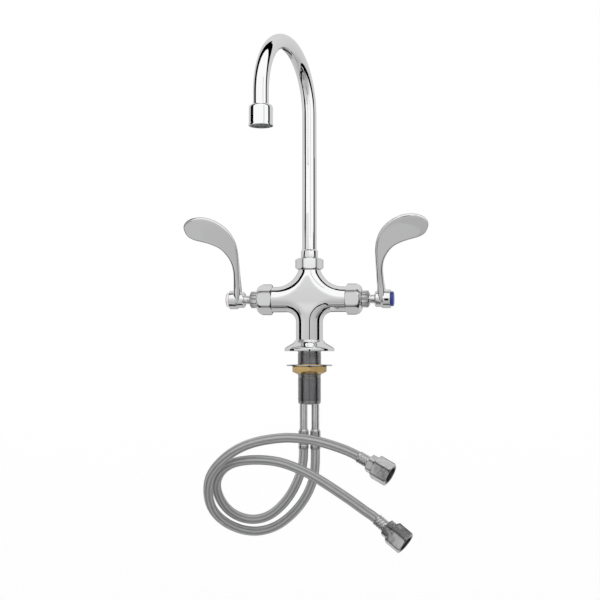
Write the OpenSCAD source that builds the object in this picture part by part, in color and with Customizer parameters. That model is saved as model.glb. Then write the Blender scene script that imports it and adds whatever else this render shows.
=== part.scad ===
// Deck-mounted pantry faucet: one mounting shank, a cast cross body, two compression
// valves with wrist-blade handles, a swivelling gooseneck spout and two braided supply hoses.
// The origin is the centre of the flange's underside, +Z is up and the user stands at -Y.
// The hot valve is on the -X side and the cold valve on the +X side.

/* [Body casting] */
// Height of the valve axis above the deck
axis_h = 62.8; // [58:0.2:70]
// Diameter of the two cast arms
arm_d = 30.8; // [29:0.2:34]
// Distance from the faucet's axis to the end of the cast arm
arm_reach = 45.5; // [42:0.5:52]
// Height of the casting's top face above the deck
body_top_h = 98.4; // [96:0.2:104]
// Diameter of the lower neck that stands on the flange
lower_neck_d = 32.6; // [31:0.2:35]
// Diameter of the virtual upper neck that the shoulder fillets start from
upper_neck_d = 23.4; // [22:0.2:26]
// Radius of the shoulder fillet between arm and upper neck
shoulder_fillet = 30; // [24:1:32]
// Radius of the fillet between arm and lower neck
crotch_fillet = 12; // [9:0.5:14]
// Bore that each supply tube is brazed into
tube_socket_depth = 24; // [16:1:26]

/* [Deck fixing] */
// Diameter of the bell-shaped deck flange
flange_d = 60.4; // [56:0.2:66]
// Height of the deck flange
flange_h = 13; // [11:0.5:16]
// Outer diameter of the mounting shank
shank_d = 28.6; // [27.6:0.1:29.6]
// Diameter of the shank's lower stretch
shank_low_d = 28; // [27:0.1:28.4]
// Clearance between the supply tubes and the shank's bore
tube_clear = 0.35; // [0.2:0.05:0.6]
// Length of shank below the deck
shank_below = 63.4; // [55:0.2:80]
// Height of the shank's wider stretch below the deck
shank_wide_h = 30; // [29:0.5:36]
// Thickness of the worktop that the clamp stands ready for, washer to flange
clamp_gap = 16.5; // [8:0.5:18]
// Outer diameter of the clamp washer
washer_d = 55.4; // [50:0.2:60]
// Thickness of the clamp washer
washer_t = 1.5; // [1:0.1:2.5]
// Width across the lock nut's flats
lock_nut_af = 41.2; // [38:0.2:44]
// Height of the lock nut
lock_nut_h = 9.2; // [7:0.2:11]
// Turn at which the tightened lock nut stands
lock_nut_turn = 9.8; // [0:0.1:60]
// Outer diameter of the nut's collar that centres the washer
nut_collar_d = 29.9; // [29.8:0.1:31]
// Height of the nut's collar above the washer
nut_collar_rise = 0.9; // [0.2:0.1:1.2]
// Outer diameter of the base gasket
gasket_d = 47; // [44:0.5:50]
// Thickness of the base gasket
gasket_t = 2; // [1.5:0.1:3]

/* [Spout] */
// Outer diameter of the gooseneck tube
spout_d = 17.5; // [16.6:0.1:18]
// Wall of the gooseneck tube
spout_wall = 1.2; // [0.9:0.1:1.6]
// Distance from the riser's axis to the outlet's axis
spout_reach = 146; // [110:1:180]
// Height of the arch's centre above the deck
arch_h = 286; // [250:1:330]
// Straight length of tube between the arch and the aerator
outlet_drop = 14; // [8:1:30]
// Angle that the spout is turned from straight ahead towards the hot side
spout_turn = 12.2; // [-60:0.1:60]
// Diameter of the machined collar at the spout's foot
collar_d = 20.6; // [20:0.1:22]
// Height of the collar that shows above the swivel nut
collar_h = 10; // [7:0.5:14]
// Width across the swivel nut's flats
swivel_nut_af = 29.5; // [28:0.1:31]
// Height of the swivel nut
swivel_nut_h = 13.5; // [12.5:0.1:15]
// Turn at which the tightened swivel nut stands
swivel_nut_turn = 9.8; // [0:0.1:60]
// Diameter of the stem that turns in the body
pivot_d = 17.2; // [16.4:0.1:17.4]
// Cord diameter of the spout's O-rings
o_ring_cord = 1.8; // [1.6:0.1:2]

/* [Aerator] */
// Outer diameter of the aerator's shell
aerator_d = 27.4; // [26.4:0.2:30]
// Height of the aerator's shell
aerator_h = 24; // [20:0.5:30]
// Wall of the aerator's shell
aerator_wall = 1.8; // [1.4:0.1:2.2]
// Number of openings across the flow straightener
straightener_holes = 12; // [8:1:16]

/* [Valves] */
// Width across the bonnet nut's flats
bonnet_nut_af = 32.7; // [31:0.1:35]
// Length of the bonnet nut along the valve axis
bonnet_nut_l = 18.6; // [17.4:0.2:20]
// Diameter of the valve chamber in the arm
chamber_d = 21; // [19:0.2:22]
// Outer diameter of the arm's threaded spigot
spigot_d = 27.2; // [26.6:0.1:28]
// Length of the arm's threaded spigot
spigot_l = 9.5; // [8:0.5:10]
// Width across the packing nut's flats
packing_nut_af = 17.6; // [16.8:0.1:19]
// Length of the packing nut
packing_nut_l = 8.6; // [8:0.2:10]
// Diameter of the valve stem where it shows
stem_d = 10.4; // [9.6:0.1:10.6]
// Lift of the stem over its quarter turn
valve_lift = 2; // [1:0.1:2.4]
// Bore of the renewable seat
seat_bore_d = 8.4; // [7:0.2:9]
// Diameter of the seat washer
seat_washer_d = 12; // [11:0.2:13]

/* [Handles] */
// Distance from the faucet's axis to the inner end of the hub
hub_start = 80; // [78:0.5:84]
// Length of the hub
hub_l = 19; // [18:0.5:24]
// Diameter of the hub's inner part
hub_d = 19.5; // [19:0.1:21]
// Diameter of the hub's outer cup
hub_cup_d = 22.6; // [22:0.1:24]
// Length of the hub's outer cup
hub_cup_l = 8.4; // [7:0.2:10]
// Distance from the hub's inner end to the blade's middle plane
blade_set = 8.4; // [8:0.1:11]
// Height of the blade's highest point above the valve axis
blade_h = 107; // [90:1:120]
// Thickness of the blade's paddle
blade_t = 4.6; // [3.6:0.1:6]
// Tilt of the hot handle towards the user
hot_tilt = 25.5; // [0:0.5:40]
// Tilt of the cold handle towards the user
cold_tilt = 26.5; // [0:0.5:40]
// Diameter of the index button
index_d = 17.8; // [17:0.1:21]
// Height that the index button stands out of the hub
index_rise = 4.1; // [3:0.1:4.6]

/* [Supply] */
// Diameter of each copper supply tube
supply_d = 9.5; // [8:0.1:10]
// Wall of each supply tube
supply_wall = 1; // [0.7:0.1:1.3]
// Distance between the two supply tubes' axes
supply_pitch = 14.4; // [13.4:0.1:14.6]
// Diameter of the braided hose
hose_d = 11.8; // [10:0.1:12.4]
// Diameter of the crimp sleeve on the supply tube
top_sleeve_d = 12.6; // [12.4:0.1:13.2]
// Length of the crimp sleeve on the supply tube
top_sleeve_l = 24; // [18:0.5:26]
// Diameter of the crimp sleeve at the hose's far end
end_sleeve_d = 13.4; // [12.6:0.1:14]
// Length of the crimp sleeve at the hose's far end
end_sleeve_l = 14; // [10:0.5:18]
// Width across the flats of the hose tail's hexagon
tail_af = 18.5; // [17:0.1:20]
// Length of the hose tail's hexagon
tail_hex_l = 7.5; // [6:0.1:9]
// Width across the flats of the coupling nut
coupling_af = 24.6; // [24:0.1:27]
// Length of the coupling nut
coupling_l = 20.6; // [18:0.1:24]
// Bore of the coupling nut's thread
coupling_bore_d = 19; // [18.4:0.1:19.6]

/* [Hidden] */
$fn = 64;
HEX = 6;
eps = 0.01;
// Clearance between a moving piece and its neighbour
gap = 0.3;
// Radial clearance of a running fit, and of a piece slipped into its bore
run_fit = 0.05;
chamfer = 1;
// Length of a cut that runs out of its piece, whatever the piece's size
through = 60;

arm_r = arm_d / 2;
upper_r = upper_neck_d / 2;
lower_r = lower_neck_d / 2;
neck_up = body_top_h - axis_h;
neck_down = axis_h - flange_h;
shank_top = flange_h + 15;
shank_bore_d = supply_pitch + supply_d + 2 * tube_clear;
supply_x = supply_pitch / 2;
supply_top = flange_h + tube_socket_depth;
// Height of the two hoses' upper ends, and how far the tubes reach into their sleeves
sleeve_bottom = -118;
tube_in_sleeve = 4;
sleeve_top = sleeve_bottom + top_sleeve_l;
supply_bottom = sleeve_top - tube_in_sleeve;

// Stack of the spout's foot, from the casting's top face upwards
spout_spigot_r = 11.5;
spigot_clear = 1;
swivel_nut_z = body_top_h + spigot_clear;
swivel_nut_top = swivel_nut_z + swivel_nut_h;
swivel_roof = 2.1;
split_ring_h = 2;
split_ring_z = swivel_nut_top - swivel_roof - gap - split_ring_h;
glide_h = 0.8;
glide_z = split_ring_z - gap - glide_h;
spout_spigot_top = glide_z;
pivot_r = pivot_d / 2;
pivot_bottom = body_top_h - 16;
split_groove_r = pivot_r - 1.1;
o_ring_z = [body_top_h - 12, body_top_h - 5];
o_ring_seat_r = pivot_r - o_ring_cord;
spout_tube_z = swivel_nut_top + gap + collar_h - 6;
arch_r = spout_reach / 2;
spout_r = spout_d / 2;
spout_bore_r = spout_r - spout_wall;
outlet_z = arch_h - outlet_drop;
aerator_z = outlet_z - aerator_h;
aerator_r = aerator_d / 2;
aerator_bore_r = aerator_r - aerator_wall;
tube_in_aerator = 9;

// Stations along the valve axis, measured from the faucet's axis
seat_in = 21.5;
seat_lip = 27;
seat_hex_r = 6.5;
chamber_in = 27.2;
spigot_end = arm_reach + spigot_l;
bonnet_gasket_t = 0.8;
bonnet_flange_z = spigot_end + bonnet_gasket_t;
bonnet_flange_t = 2.4;
bonnet_flange_r = spigot_d / 2 - 0.4;
bonnet_nut_in = arm_reach + gap;
bonnet_nut_roof = bonnet_flange_z + bonnet_flange_t;
bonnet_nut_out = bonnet_nut_in + bonnet_nut_l;
bonnet_neck_r = 9.1;
packing_nut_in = bonnet_nut_out + gap;
packing_nut_out = packing_nut_in + packing_nut_l;
packing_thread_r = 7.3;
bonnet_out = packing_nut_out - 4;
packing_out = packing_nut_out - 2.2;
stem_r = stem_d / 2;
stem_screw_r = 6.2;
stem_screw_in = 40;
stem_screw_out = 56;
stem_in = 32.4;
stem_pin_r = 3.2;
screw_r = 1.9;
screw_head_r = 3.4;
screw_hole_l = 9;
washer_t_rubber = 2.6;
seat_washer_z = seat_lip + gap;
holder_r = seat_washer_d / 2 + 0.8;
holder_floor = seat_washer_z + washer_t_rubber;
holder_out = holder_floor + 5;
cartridge_in = 34.6;
cartridge_bore_r = holder_r + gap;
spline_r = 4.4;
screw_seat = 8;
web_t = 1.6;
spline_out = hub_start + hub_l - screw_seat - web_t - gap;
hub_cup_in = hub_l - hub_cup_l;
index_recess = 1.5;
index_seat = hub_l - index_recess;
index_h = index_recess + index_rise;

// Hose ends: place of the far end, its heading from +X towards +Y and its dip
cold_end = [69.2, -78.2, -119.2];
cold_heading = -14.2;
cold_dip = 27;
hot_end = [90.4, -89, -187.3];
hot_heading = -15.2;
hot_dip = 36;
hose_sides = 12;

// Routes of the two hoses, end to end as the photograph shows them
cold_route = [
    [supply_x, 0, sleeve_bottom], [7, 0, -136], [3.3, 4.6, -156], [-7.4, 7.8, -179],
    [-24.1, 10.1, -199], [-45.3, 9.4, -214], [-67.8, 4.5, -219], [-88.2, -6.1, -214],
    [-104.1, -20, -202], [-112.6, -35.7, -185], [-113.3, -49, -166], [-107.4, -61.1, -146.4],
    [-94.6, -70.1, -130.2], [-76.5, -75.1, -116], [-54.9, -76.4, -106.1], [-33.6, -75.8, -101.3],
    [-13.5, -74.4, -99.4], [4.5, -73.3, -100.4], [22.8, -73.2, -103.4], [41.2, -74.1, -108.3],
    [55.6, -75.7, -113.1], cold_end];
hot_route = [
    [-supply_x, 0, sleeve_bottom], [-8, 0, -134], [-13.2, -0.2, -153], [-23, 1, -172.4],
    [-37.4, 1.6, -189.8], [-54, 1.8, -201], [-71.2, -1.1, -204], [-86.8, -6.8, -199.6],
    [-98.6, -15.9, -189.2], [-105.2, -26.1, -175], [-106.2, -37.4, -159.8], [-99.9, -48.6, -145.2],
    [-88.9, -56.9, -134.9], [-74.5, -62.6, -128.8], [-57.6, -65.8, -126.2], [-40, -67.8, -126],
    [-23.6, -69, -128], [-4.2, -69.7, -134], [14.4, -71.6, -142], [30.5, -73.5, -150.9],
    [47.8, -76.7, -161.1], [64.7, -81, -171.3], [78.1, -85.5, -179.6], hot_end];

// Helpers

function mix(a, b, t) = a + (b - a) * t;
function clamp01(t) = max(0, min(1, t));
function smooth(t) = let (s = clamp01(t)) s * s * (3 - 2 * s);
function unit(v) = v / norm(v);

// Ring between two radii and two heights
module ring(r_out, r_in, z0, z1) {
    translate([0, 0, z0])
        difference() {
            cylinder(r = r_out, h = z1 - z0);
            translate([0, 0, -1]) cylinder(r = r_in, h = z1 - z0 + 2);
        }
}

// Hexagon bar whose flats face +Y and -Y, with its corners turned off at the ends
module hex_bar(across_flats, z0, z1, low_chamfer = chamfer, high_chamfer = chamfer) {
    corner_r = across_flats / sqrt(3);
    turned_r = corner_r + eps;
    intersection() {
        translate([0, 0, z0]) cylinder(r = corner_r, h = z1 - z0, $fn = HEX);
        rotate_extrude() polygon([
            [0, z0], [turned_r - 2 * low_chamfer, z0], [turned_r, z0 + low_chamfer],
            [turned_r, z1 - high_chamfer], [turned_r - 2 * high_chamfer, z1], [0, z1]]);
    }
}

// Puts a valve piece drawn along +Z on the hot (side -1) or cold (side 1) arm, with its
// own +X pointing up
module on_valve(side) {
    translate([0, 0, axis_h]) rotate([0, side * 90, 0]) rotate([0, 0, side > 0 ? 180 : 0]) children();
}

// Puts a piece drawn along +Z at a hose's far end, pointing away from the hose
module at_hose_end(end, heading, dip) {
    translate(end) rotate([0, 90 + dip, heading]) children();
}

module turn_spout() {
    rotate([0, 0, -90 - spout_turn]) children();
}

// Body casting: four tubes that meet, blended by fillets that fade out at front and back

function fillet_at(p) =
    mix(crotch_fillet, shoulder_fillet, smooth(p.z / arm_r + 0.5))
    * max(0.12, 1 - pow(abs(p.y) / arm_r, 2));
function neck_r_at(z) = mix(lower_r, upper_r, smooth(z / arm_r + 0.5));
function casting_field(p) =
    let (a = norm([p.y, p.z]) - arm_r,
         n = norm([p.x, p.y]) - neck_r_at(p.z),
         k = fillet_at(p))
    max(k, min(a, n)) - norm([max(k - a, 0), max(k - n, 0)]);
function skin_at(from, dir, lo, hi, steps) =
    let (mid = (lo + hi) / 2)
    steps == 0 ? from + mid * dir
    : casting_field(from + mid * dir) < 0 ? skin_at(from, dir, mid, hi, steps - 1)
    : skin_at(from, dir, lo, mid, steps - 1);

// Spokes in turn: cold arm, upper neck, hot arm, lower neck
spoke_dir = [[1, 0, 0], [0, 0, 1], [-1, 0, 0], [0, 0, -1]];
spoke_len = [arm_reach, neck_up, arm_reach, neck_down];
spoke_steps = 9;
ring_steps = 14;
root_steps = 16;

function corner_fillet(q) = q < 2 ? shoulder_fillet : crotch_fillet;
function corner_neck_r(q) = q < 2 ? upper_r : lower_r;
// Silhouette of a corner in its own plane: s runs along the arm and h along the neck
function outline_h(q, s) =
    let (k = corner_fillet(q), c = corner_neck_r(q) + k)
    s >= c ? arm_r : arm_r + k - sqrt(max(0, k * k - pow(c - s, 2)));
function outline_s(q, h) =
    let (k = corner_fillet(q), c = arm_r + k)
    h >= c ? corner_neck_r(q) : corner_neck_r(q) + k - sqrt(max(0, k * k - pow(c - h, 2)));
function is_arm(spoke) = spoke % 2 == 0;
// Target on the corner's silhouette for step i of spoke k, seen from corner q
function target(q, k, i) =
    let (other = k == q ? (q + 1) % 4 : q,
         f = corner_fillet(q),
         mid = (is_arm(k) ? corner_neck_r(q) : arm_r) + f * (1 - sqrt(0.5)),
         along = mix(spoke_len[k], mid, i / spoke_steps),
         across = is_arm(k) ? outline_h(q, along) : outline_s(q, along))
    along * spoke_dir[k] + across * spoke_dir[other];
function spoke_point(k, i) = spoke_len[k] * (1 - i / spoke_steps) * spoke_dir[k];
function skin_point(q, k, i, v) =
    let (from = spoke_point(k, i),
         out = unit(target(q, k, i) - from),
         a = 180 * v / ring_steps,
         dir = cos(a) * [0, -1, 0] + sin(a) * out)
    skin_at(from, dir, 0, 1.6 * arm_r + shoulder_fillet, root_steps);

spoke_points = 4 * spoke_steps;
line_size = spoke_points + 1;
function line_index(k, i) = i == spoke_steps ? spoke_points : k * spoke_steps + i;
function spoke_of(q, u) = u <= spoke_steps ? q : (q + 1) % 4;
function step_of(u) = u <= spoke_steps ? u : 2 * spoke_steps - u;
function grid_index(q, u, v) =
    v == 0 ? line_index(spoke_of(q, u), step_of(u))
    : v == ring_steps ? line_size + line_index(spoke_of(q, u), step_of(u))
    : 2 * line_size + (q * (2 * spoke_steps + 1) + u) * (ring_steps - 1) + v - 1;

module casting_skin() {
    front = [for (k = [0:3]) for (i = [0:spoke_steps - 1]) skin_point(k, k, i, 0)];
    front_mid = [skin_point(0, 0, spoke_steps, 0)];
    back = [for (k = [0:3]) for (i = [0:spoke_steps - 1]) skin_point(k, k, i, ring_steps)];
    back_mid = [skin_point(0, 0, spoke_steps, ring_steps)];
    sides = [for (q = [0:3]) for (u = [0:2 * spoke_steps]) for (v = [1:ring_steps - 1])
        skin_point(q, spoke_of(q, u), step_of(u), v)];
    walls = [for (q = [0:3]) for (u = [0:2 * spoke_steps - 1]) for (v = [0:ring_steps - 1])
        let (a = grid_index(q, u, v), b = grid_index(q, u + 1, v),
             c = grid_index(q, u + 1, v + 1), d = grid_index(q, u, v + 1))
        each [[a, b, c], [a, c, d]]];
    ends = [for (q = [0:3])
        [each [for (v = [0:ring_steps]) grid_index(q, 0, v)],
         each [for (v = [1:ring_steps - 1])
            grid_index((q + 3) % 4, 2 * spoke_steps, ring_steps - v)]]];
    translate([0, 0, axis_h])
        polyhedron(concat(front, front_mid, back, back_mid, sides), concat(walls, ends));
}

module body_casting() {
    inlet_r = supply_d / 2 - supply_wall;
    outlet_r = 7;
    passage_r = 2.4;
    PASSAGE_FN = 24;
    color("gainsboro")
        difference() {
            union() {
                casting_skin();
                translate([0, 0, body_top_h - eps])
                    cylinder(r = spout_spigot_r, h = spout_spigot_top - body_top_h + eps);
                for (side = [-1, 1]) on_valve(side)
                    translate([0, 0, arm_reach - eps]) cylinder(d = spigot_d, h = spigot_l + eps);
            }
            // Socket for the spout's pivot and the mixing chamber below it
            translate([0, 0, pivot_bottom - gap]) cylinder(r = pivot_r + run_fit, h = 40);
            translate([0, 0, axis_h + 12]) cylinder(r = outlet_r, h = 30);
            // Socket for the shank
            translate([0, 0, -1]) cylinder(d = shank_d + 2 * run_fit, h = shank_top + 1);
            for (side = [-1, 1]) {
                on_valve(side) {
                    translate([0, 0, chamber_in]) cylinder(d = chamber_d, h = through);
                    translate([0, 0, seat_in]) cylinder(r = seat_hex_r + run_fit, h = 10);
                    translate([0, 0, supply_x - 1]) cylinder(r = inlet_r, h = seat_in);
                }
                // Supply tube's socket and the inlet above it
                translate([side * supply_x, 0, shank_top - 1]) {
                    cylinder(d = supply_d + 2 * run_fit, h = supply_top - shank_top + 1);
                    cylinder(r = inlet_r, h = axis_h - shank_top + inlet_r);
                }
                // Slanting passage from the valve chamber to the mixing chamber
                hull() {
                    translate([side * (chamber_in + 3), 0, axis_h + chamber_d / 2 - 2.9])
                        sphere(r = passage_r, $fn = PASSAGE_FN);
                    translate([side * 2, 0, body_top_h - 17.6])
                        sphere(r = passage_r, $fn = PASSAGE_FN);
                }
            }
        }
}

module deck_flange() {
    rim_r = flange_d / 2;
    rim_h = 2.2;
    throat_r = lower_r + 1.6;
    edge = 0.6;
    color("gainsboro")
        difference() {
            // Straight rim, then an S-shaped bell up to the casting's neck
            rotate_extrude() polygon(concat(
                [[0, 0], [rim_r - edge, 0], [rim_r, edge]],
                [for (t = [0:0.1:1])
                    [mix(rim_r, throat_r, smooth(t)), mix(rim_h, flange_h - edge, t)]],
                [[throat_r - edge, flange_h], [0, flange_h]]));
            translate([0, 0, -1]) cylinder(d = shank_d + 2 * run_fit, h = flange_h + 2);
            translate([0, 0, -1]) cylinder(d = gasket_d + 2 * run_fit, h = gasket_t + 1);
        }
}

module base_gasket() {
    color("dimgray") ring(gasket_d / 2, shank_d / 2 + run_fit, 0, gasket_t);
}

module shank() {
    wide_r = shank_d / 2;
    low_r = shank_low_d / 2;
    color("dimgray")
        difference() {
            rotate_extrude() polygon([
                [0, -shank_below], [low_r - 0.6, -shank_below], [low_r, -shank_below + 0.6],
                [low_r, -shank_wide_h - 0.3], [wide_r, -shank_wide_h],
                [wide_r, shank_top - 0.6], [wide_r - 0.6, shank_top], [0, shank_top]]);
            translate([0, 0, -shank_below - 1])
                cylinder(d = shank_bore_d, h = shank_below + shank_top + 2);
        }
}

module clamp_washer() {
    color("silver")
        ring(washer_d / 2, nut_collar_d / 2 + gap, -clamp_gap - washer_t, -clamp_gap);
}

module lock_nut() {
    top = -clamp_gap - washer_t - gap;
    bottom = top - lock_nut_h;
    collar_top = nut_collar_rise - clamp_gap;
    bore_r = shank_d / 2 + run_fit;
    // The lower end is turned off to a cone that ends close to the bore
    cone_h = (lock_nut_af / sqrt(3) - bore_r - 1) / 2;
    color("goldenrod")
        difference() {
            union() {
                rotate([0, 0, 30 + lock_nut_turn]) hex_bar(lock_nut_af, bottom, top, cone_h, 0.4);
                translate([0, 0, top - eps])
                    cylinder(d = nut_collar_d, h = collar_top - top + eps);
            }
            translate([0, 0, bottom - 1]) cylinder(r = bore_r, h = collar_top - bottom + 2);
            // Lead-in chamfer of the thread
            translate([0, 0, bottom - eps]) cylinder(r1 = bore_r + 0.6, r2 = bore_r, h = 0.6);
        }
}

// Gooseneck: riser, half-circle arch and drop, solid for any radius
module gooseneck(r, foot_z, tip_z) {
    translate([0, 0, foot_z]) cylinder(r = r, h = arch_h - foot_z);
    translate([arch_r, 0, arch_h]) rotate([90, 0, 0])
        rotate_extrude(angle = 180) translate([arch_r, 0]) circle(r = r);
    translate([spout_reach, 0, tip_z]) cylinder(r = r, h = arch_h - tip_z);
}

module spout_tube() {
    tip_z = outlet_z - tube_in_aerator;
    color("silver") turn_spout()
        difference() {
            gooseneck(spout_r, spout_tube_z, tip_z);
            gooseneck(spout_bore_r, spout_tube_z - 1, tip_z - 1);
        }
}

module spout_foot() {
    collar_r = collar_d / 2;
    collar_z = swivel_nut_top + gap;
    foot_bore_r = 5.8;
    color("silver")
        difference() {
            rotate_extrude() polygon([
                [0, pivot_bottom], [pivot_r - 0.6, pivot_bottom], [pivot_r, pivot_bottom + 0.6],
                [pivot_r, collar_z], [collar_r - 0.5, collar_z], [collar_r, collar_z + 0.5],
                [collar_r, collar_z + collar_h - 1.4], [collar_r - 1, collar_z + collar_h - 0.3],
                [collar_r - 1.4, collar_z + collar_h], [0, collar_z + collar_h]]);
            translate([0, 0, pivot_bottom - 1]) cylinder(r = foot_bore_r, h = through);
            translate([0, 0, spout_tube_z]) cylinder(r = spout_r + run_fit, h = 20);
            for (z = o_ring_z)
                ring(pivot_r + 1, o_ring_seat_r, z - o_ring_cord / 2, z + o_ring_cord / 2);
            ring(pivot_r + 1, split_groove_r, split_ring_z - 0.1, split_ring_z + split_ring_h + 0.1);
        }
}

module spout_o_rings() {
    color("black") for (z = o_ring_z)
        translate([0, 0, z]) rotate_extrude()
            translate([pivot_r - o_ring_cord / 2, 0]) circle(d = o_ring_cord - 2 * run_fit);
}

module split_ring() {
    color("white")
        difference() {
            ring(spout_spigot_r - 0.8, split_groove_r + run_fit, split_ring_z,
                 split_ring_z + split_ring_h);
            translate([0, -1.2, split_ring_z - 1]) cube([30, 2.4, split_ring_h + 2]);
        }
}

module glide_washer() {
    color("white") ring(spout_spigot_r, pivot_r + gap, glide_z, glide_z + glide_h);
}

module swivel_nut() {
    thread_r = spout_spigot_r + run_fit;
    color("gainsboro")
        difference() {
            rotate([0, 0, swivel_nut_turn])
                hex_bar(swivel_nut_af, swivel_nut_z, swivel_nut_top, 0.9, 1.2);
            translate([0, 0, swivel_nut_z - 1])
                cylinder(r = thread_r, h = swivel_nut_h - swivel_roof + 1);
            translate([0, 0, swivel_nut_z - 2]) cylinder(r = pivot_r + gap, h = 30);
        }
}

// Aerator on the spout's outlet

module at_outlet() {
    turn_spout() translate([spout_reach, 0, 0]) children();
}

module aerator_shell() {
    shoulder = 4.2;
    lip = 0.35;
    lip_h = 3;
    wall_r = aerator_r - lip;
    color("silver") at_outlet()
        difference() {
            // Flared lip, straight wall and rounded shoulder
            rotate_extrude() polygon(concat(
                [[0, aerator_z], [aerator_r - 0.7, aerator_z], [aerator_r, aerator_z + 0.7],
                 [aerator_r, aerator_z + 0.5 * lip_h], [wall_r, aerator_z + lip_h]],
                [for (a = [0:15:75])
                    [wall_r - shoulder * (1 - cos(a)), outlet_z - shoulder * (1 - sin(a))]],
                [[spout_r + 0.4, outlet_z], [0, outlet_z]]));
            translate([0, 0, outlet_z - tube_in_aerator]) cylinder(r = spout_r + run_fit, h = 30);
            translate([0, 0, aerator_z - 1]) cylinder(r = spout_bore_r, h = aerator_h + 2);
            translate([0, 0, aerator_z - 1])
                cylinder(r = aerator_bore_r, h = aerator_h - tube_in_aerator - 1);
        }
}

insert_top = aerator_z + aerator_h - tube_in_aerator - 2;
insert_washer_t = 1.6;
straightener_z = aerator_z + 3.5;
screen_h = 3;
screen_z = insert_top - insert_washer_t - screen_h;

module aerator_washer() {
    color("black") at_outlet()
        ring(aerator_bore_r - run_fit, spout_bore_r, insert_top - insert_washer_t, insert_top);
}

// Cup with a square grid of openings that straightens the flow
module flow_straightener() {
    cup_r = aerator_bore_r - run_fit;
    pitch = 2 * (cup_r - 2) / straightener_holes;
    hole = pitch - 0.5;
    reach_r = cup_r - 2;
    color("dimgray") at_outlet() {
        ring(cup_r, cup_r - 1.6, straightener_z, screen_z);
        difference() {
            ring(cup_r - 1.6, 0.6, straightener_z, straightener_z + 2.5);
            for (i = [0:straightener_holes - 1]) for (j = [0:straightener_holes - 1])
                let (x = (i - straightener_holes / 2 + 0.5) * pitch,
                     y = (j - straightener_holes / 2 + 0.5) * pitch)
                if (norm([x, y]) < reach_r - 0.7 * pitch && norm([x, y]) > 1.5)
                    translate([x - hole / 2, y - hole / 2, straightener_z - 1])
                        cube([hole, hole, 5]);
        }
    }
}

module aerator_screen() {
    dome_r = aerator_bore_r - run_fit;
    color("silver") at_outlet()
        translate([0, 0, screen_z]) difference() {
            cylinder(r1 = dome_r, r2 = dome_r - 2, h = screen_h);
            translate([0, 0, -eps]) cylinder(r1 = dome_r - 0.8, r2 = dome_r - 2.8, h = screen_h - 0.8);
        }
}

// Valve pieces, all drawn along +Z with the faucet's axis at z = 0

module seat(side) {
    color("goldenrod") on_valve(side)
        difference() {
            union() {
                translate([0, 0, seat_in]) cylinder(r = seat_hex_r, h = seat_lip - seat_in - 1.2);
                translate([0, 0, seat_in]) cylinder(r = seat_bore_d / 2 + 0.9, h = seat_lip - seat_in);
            }
            translate([0, 0, seat_in - 1]) cylinder(d = seat_bore_d, h = 10);
        }
}

module cartridge(side) {
    color("goldenrod") on_valve(side)
        difference() {
            union() {
                translate([0, 0, cartridge_in])
                    cylinder(r = chamber_d / 2 - run_fit, h = bonnet_flange_z - cartridge_in);
                translate([0, 0, bonnet_flange_z]) cylinder(r = bonnet_flange_r, h = bonnet_flange_t);
                translate([0, 0, bonnet_flange_z])
                    cylinder(r = bonnet_neck_r, h = bonnet_nut_out - bonnet_flange_z);
                translate([0, 0, bonnet_flange_z])
                    cylinder(r = packing_thread_r, h = bonnet_out - bonnet_flange_z);
            }
            translate([0, 0, cartridge_in - 1])
                cylinder(r = cartridge_bore_r, h = holder_out + valve_lift + gap - cartridge_in + 1);
            translate([0, 0, cartridge_in - 1])
                cylinder(r = stem_screw_r + run_fit,
                         h = stem_screw_out + valve_lift + gap - cartridge_in + 1);
            translate([0, 0, cartridge_in]) cylinder(r = stem_r + run_fit, h = through);
            // Water ports round the cartridge's foot
            for (a = [45:90:315]) rotate([0, 0, a])
                translate([0, 0, cartridge_in + 3.4]) rotate([0, 90, 0]) cylinder(r = 2, h = 20);
        }
}

module bonnet_gasket(side) {
    color("black") on_valve(side)
        ring(bonnet_flange_r, chamber_d / 2, spigot_end, spigot_end + bonnet_gasket_t);
}

// Hexagon with a domed outer end
module bonnet_nut(side) {
    corner_r = bonnet_nut_af / sqrt(3);
    hex_end = bonnet_nut_in + 0.52 * bonnet_nut_l;
    nose_r = bonnet_neck_r + 1.9;
    color("gainsboro") on_valve(side)
        difference() {
            intersection() {
                translate([0, 0, bonnet_nut_in]) cylinder(r = corner_r, h = bonnet_nut_l, $fn = HEX);
                rotate_extrude() polygon(concat(
                    [[0, bonnet_nut_in], [corner_r - 1.6, bonnet_nut_in],
                     [corner_r + eps, bonnet_nut_in + 1]],
                    [for (a = [0:15:75])
                        [mix(nose_r, corner_r + eps, cos(a)),
                         mix(hex_end, bonnet_nut_out, sin(a))]],
                    [[nose_r, bonnet_nut_out], [0, bonnet_nut_out]]));
            }
            translate([0, 0, bonnet_nut_in - 1])
                cylinder(r = spigot_d / 2 + run_fit, h = bonnet_nut_roof - bonnet_nut_in + 1);
            translate([0, 0, bonnet_nut_in]) cylinder(r = bonnet_neck_r + run_fit, h = 30);
        }
}

module packing(side) {
    color("white") on_valve(side)
        ring(packing_thread_r - run_fit, stem_r + run_fit, bonnet_out, packing_out);
}

module packing_nut(side) {
    color("gainsboro") on_valve(side)
        difference() {
            hex_bar(packing_nut_af, packing_nut_in, packing_nut_out, 0.5, 1.4);
            translate([0, 0, packing_nut_in - 1])
                cylinder(r = packing_thread_r + run_fit, h = packing_out - packing_nut_in + 1);
            translate([0, 0, packing_nut_in]) cylinder(r = stem_r + gap, h = 20);
        }
}

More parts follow.
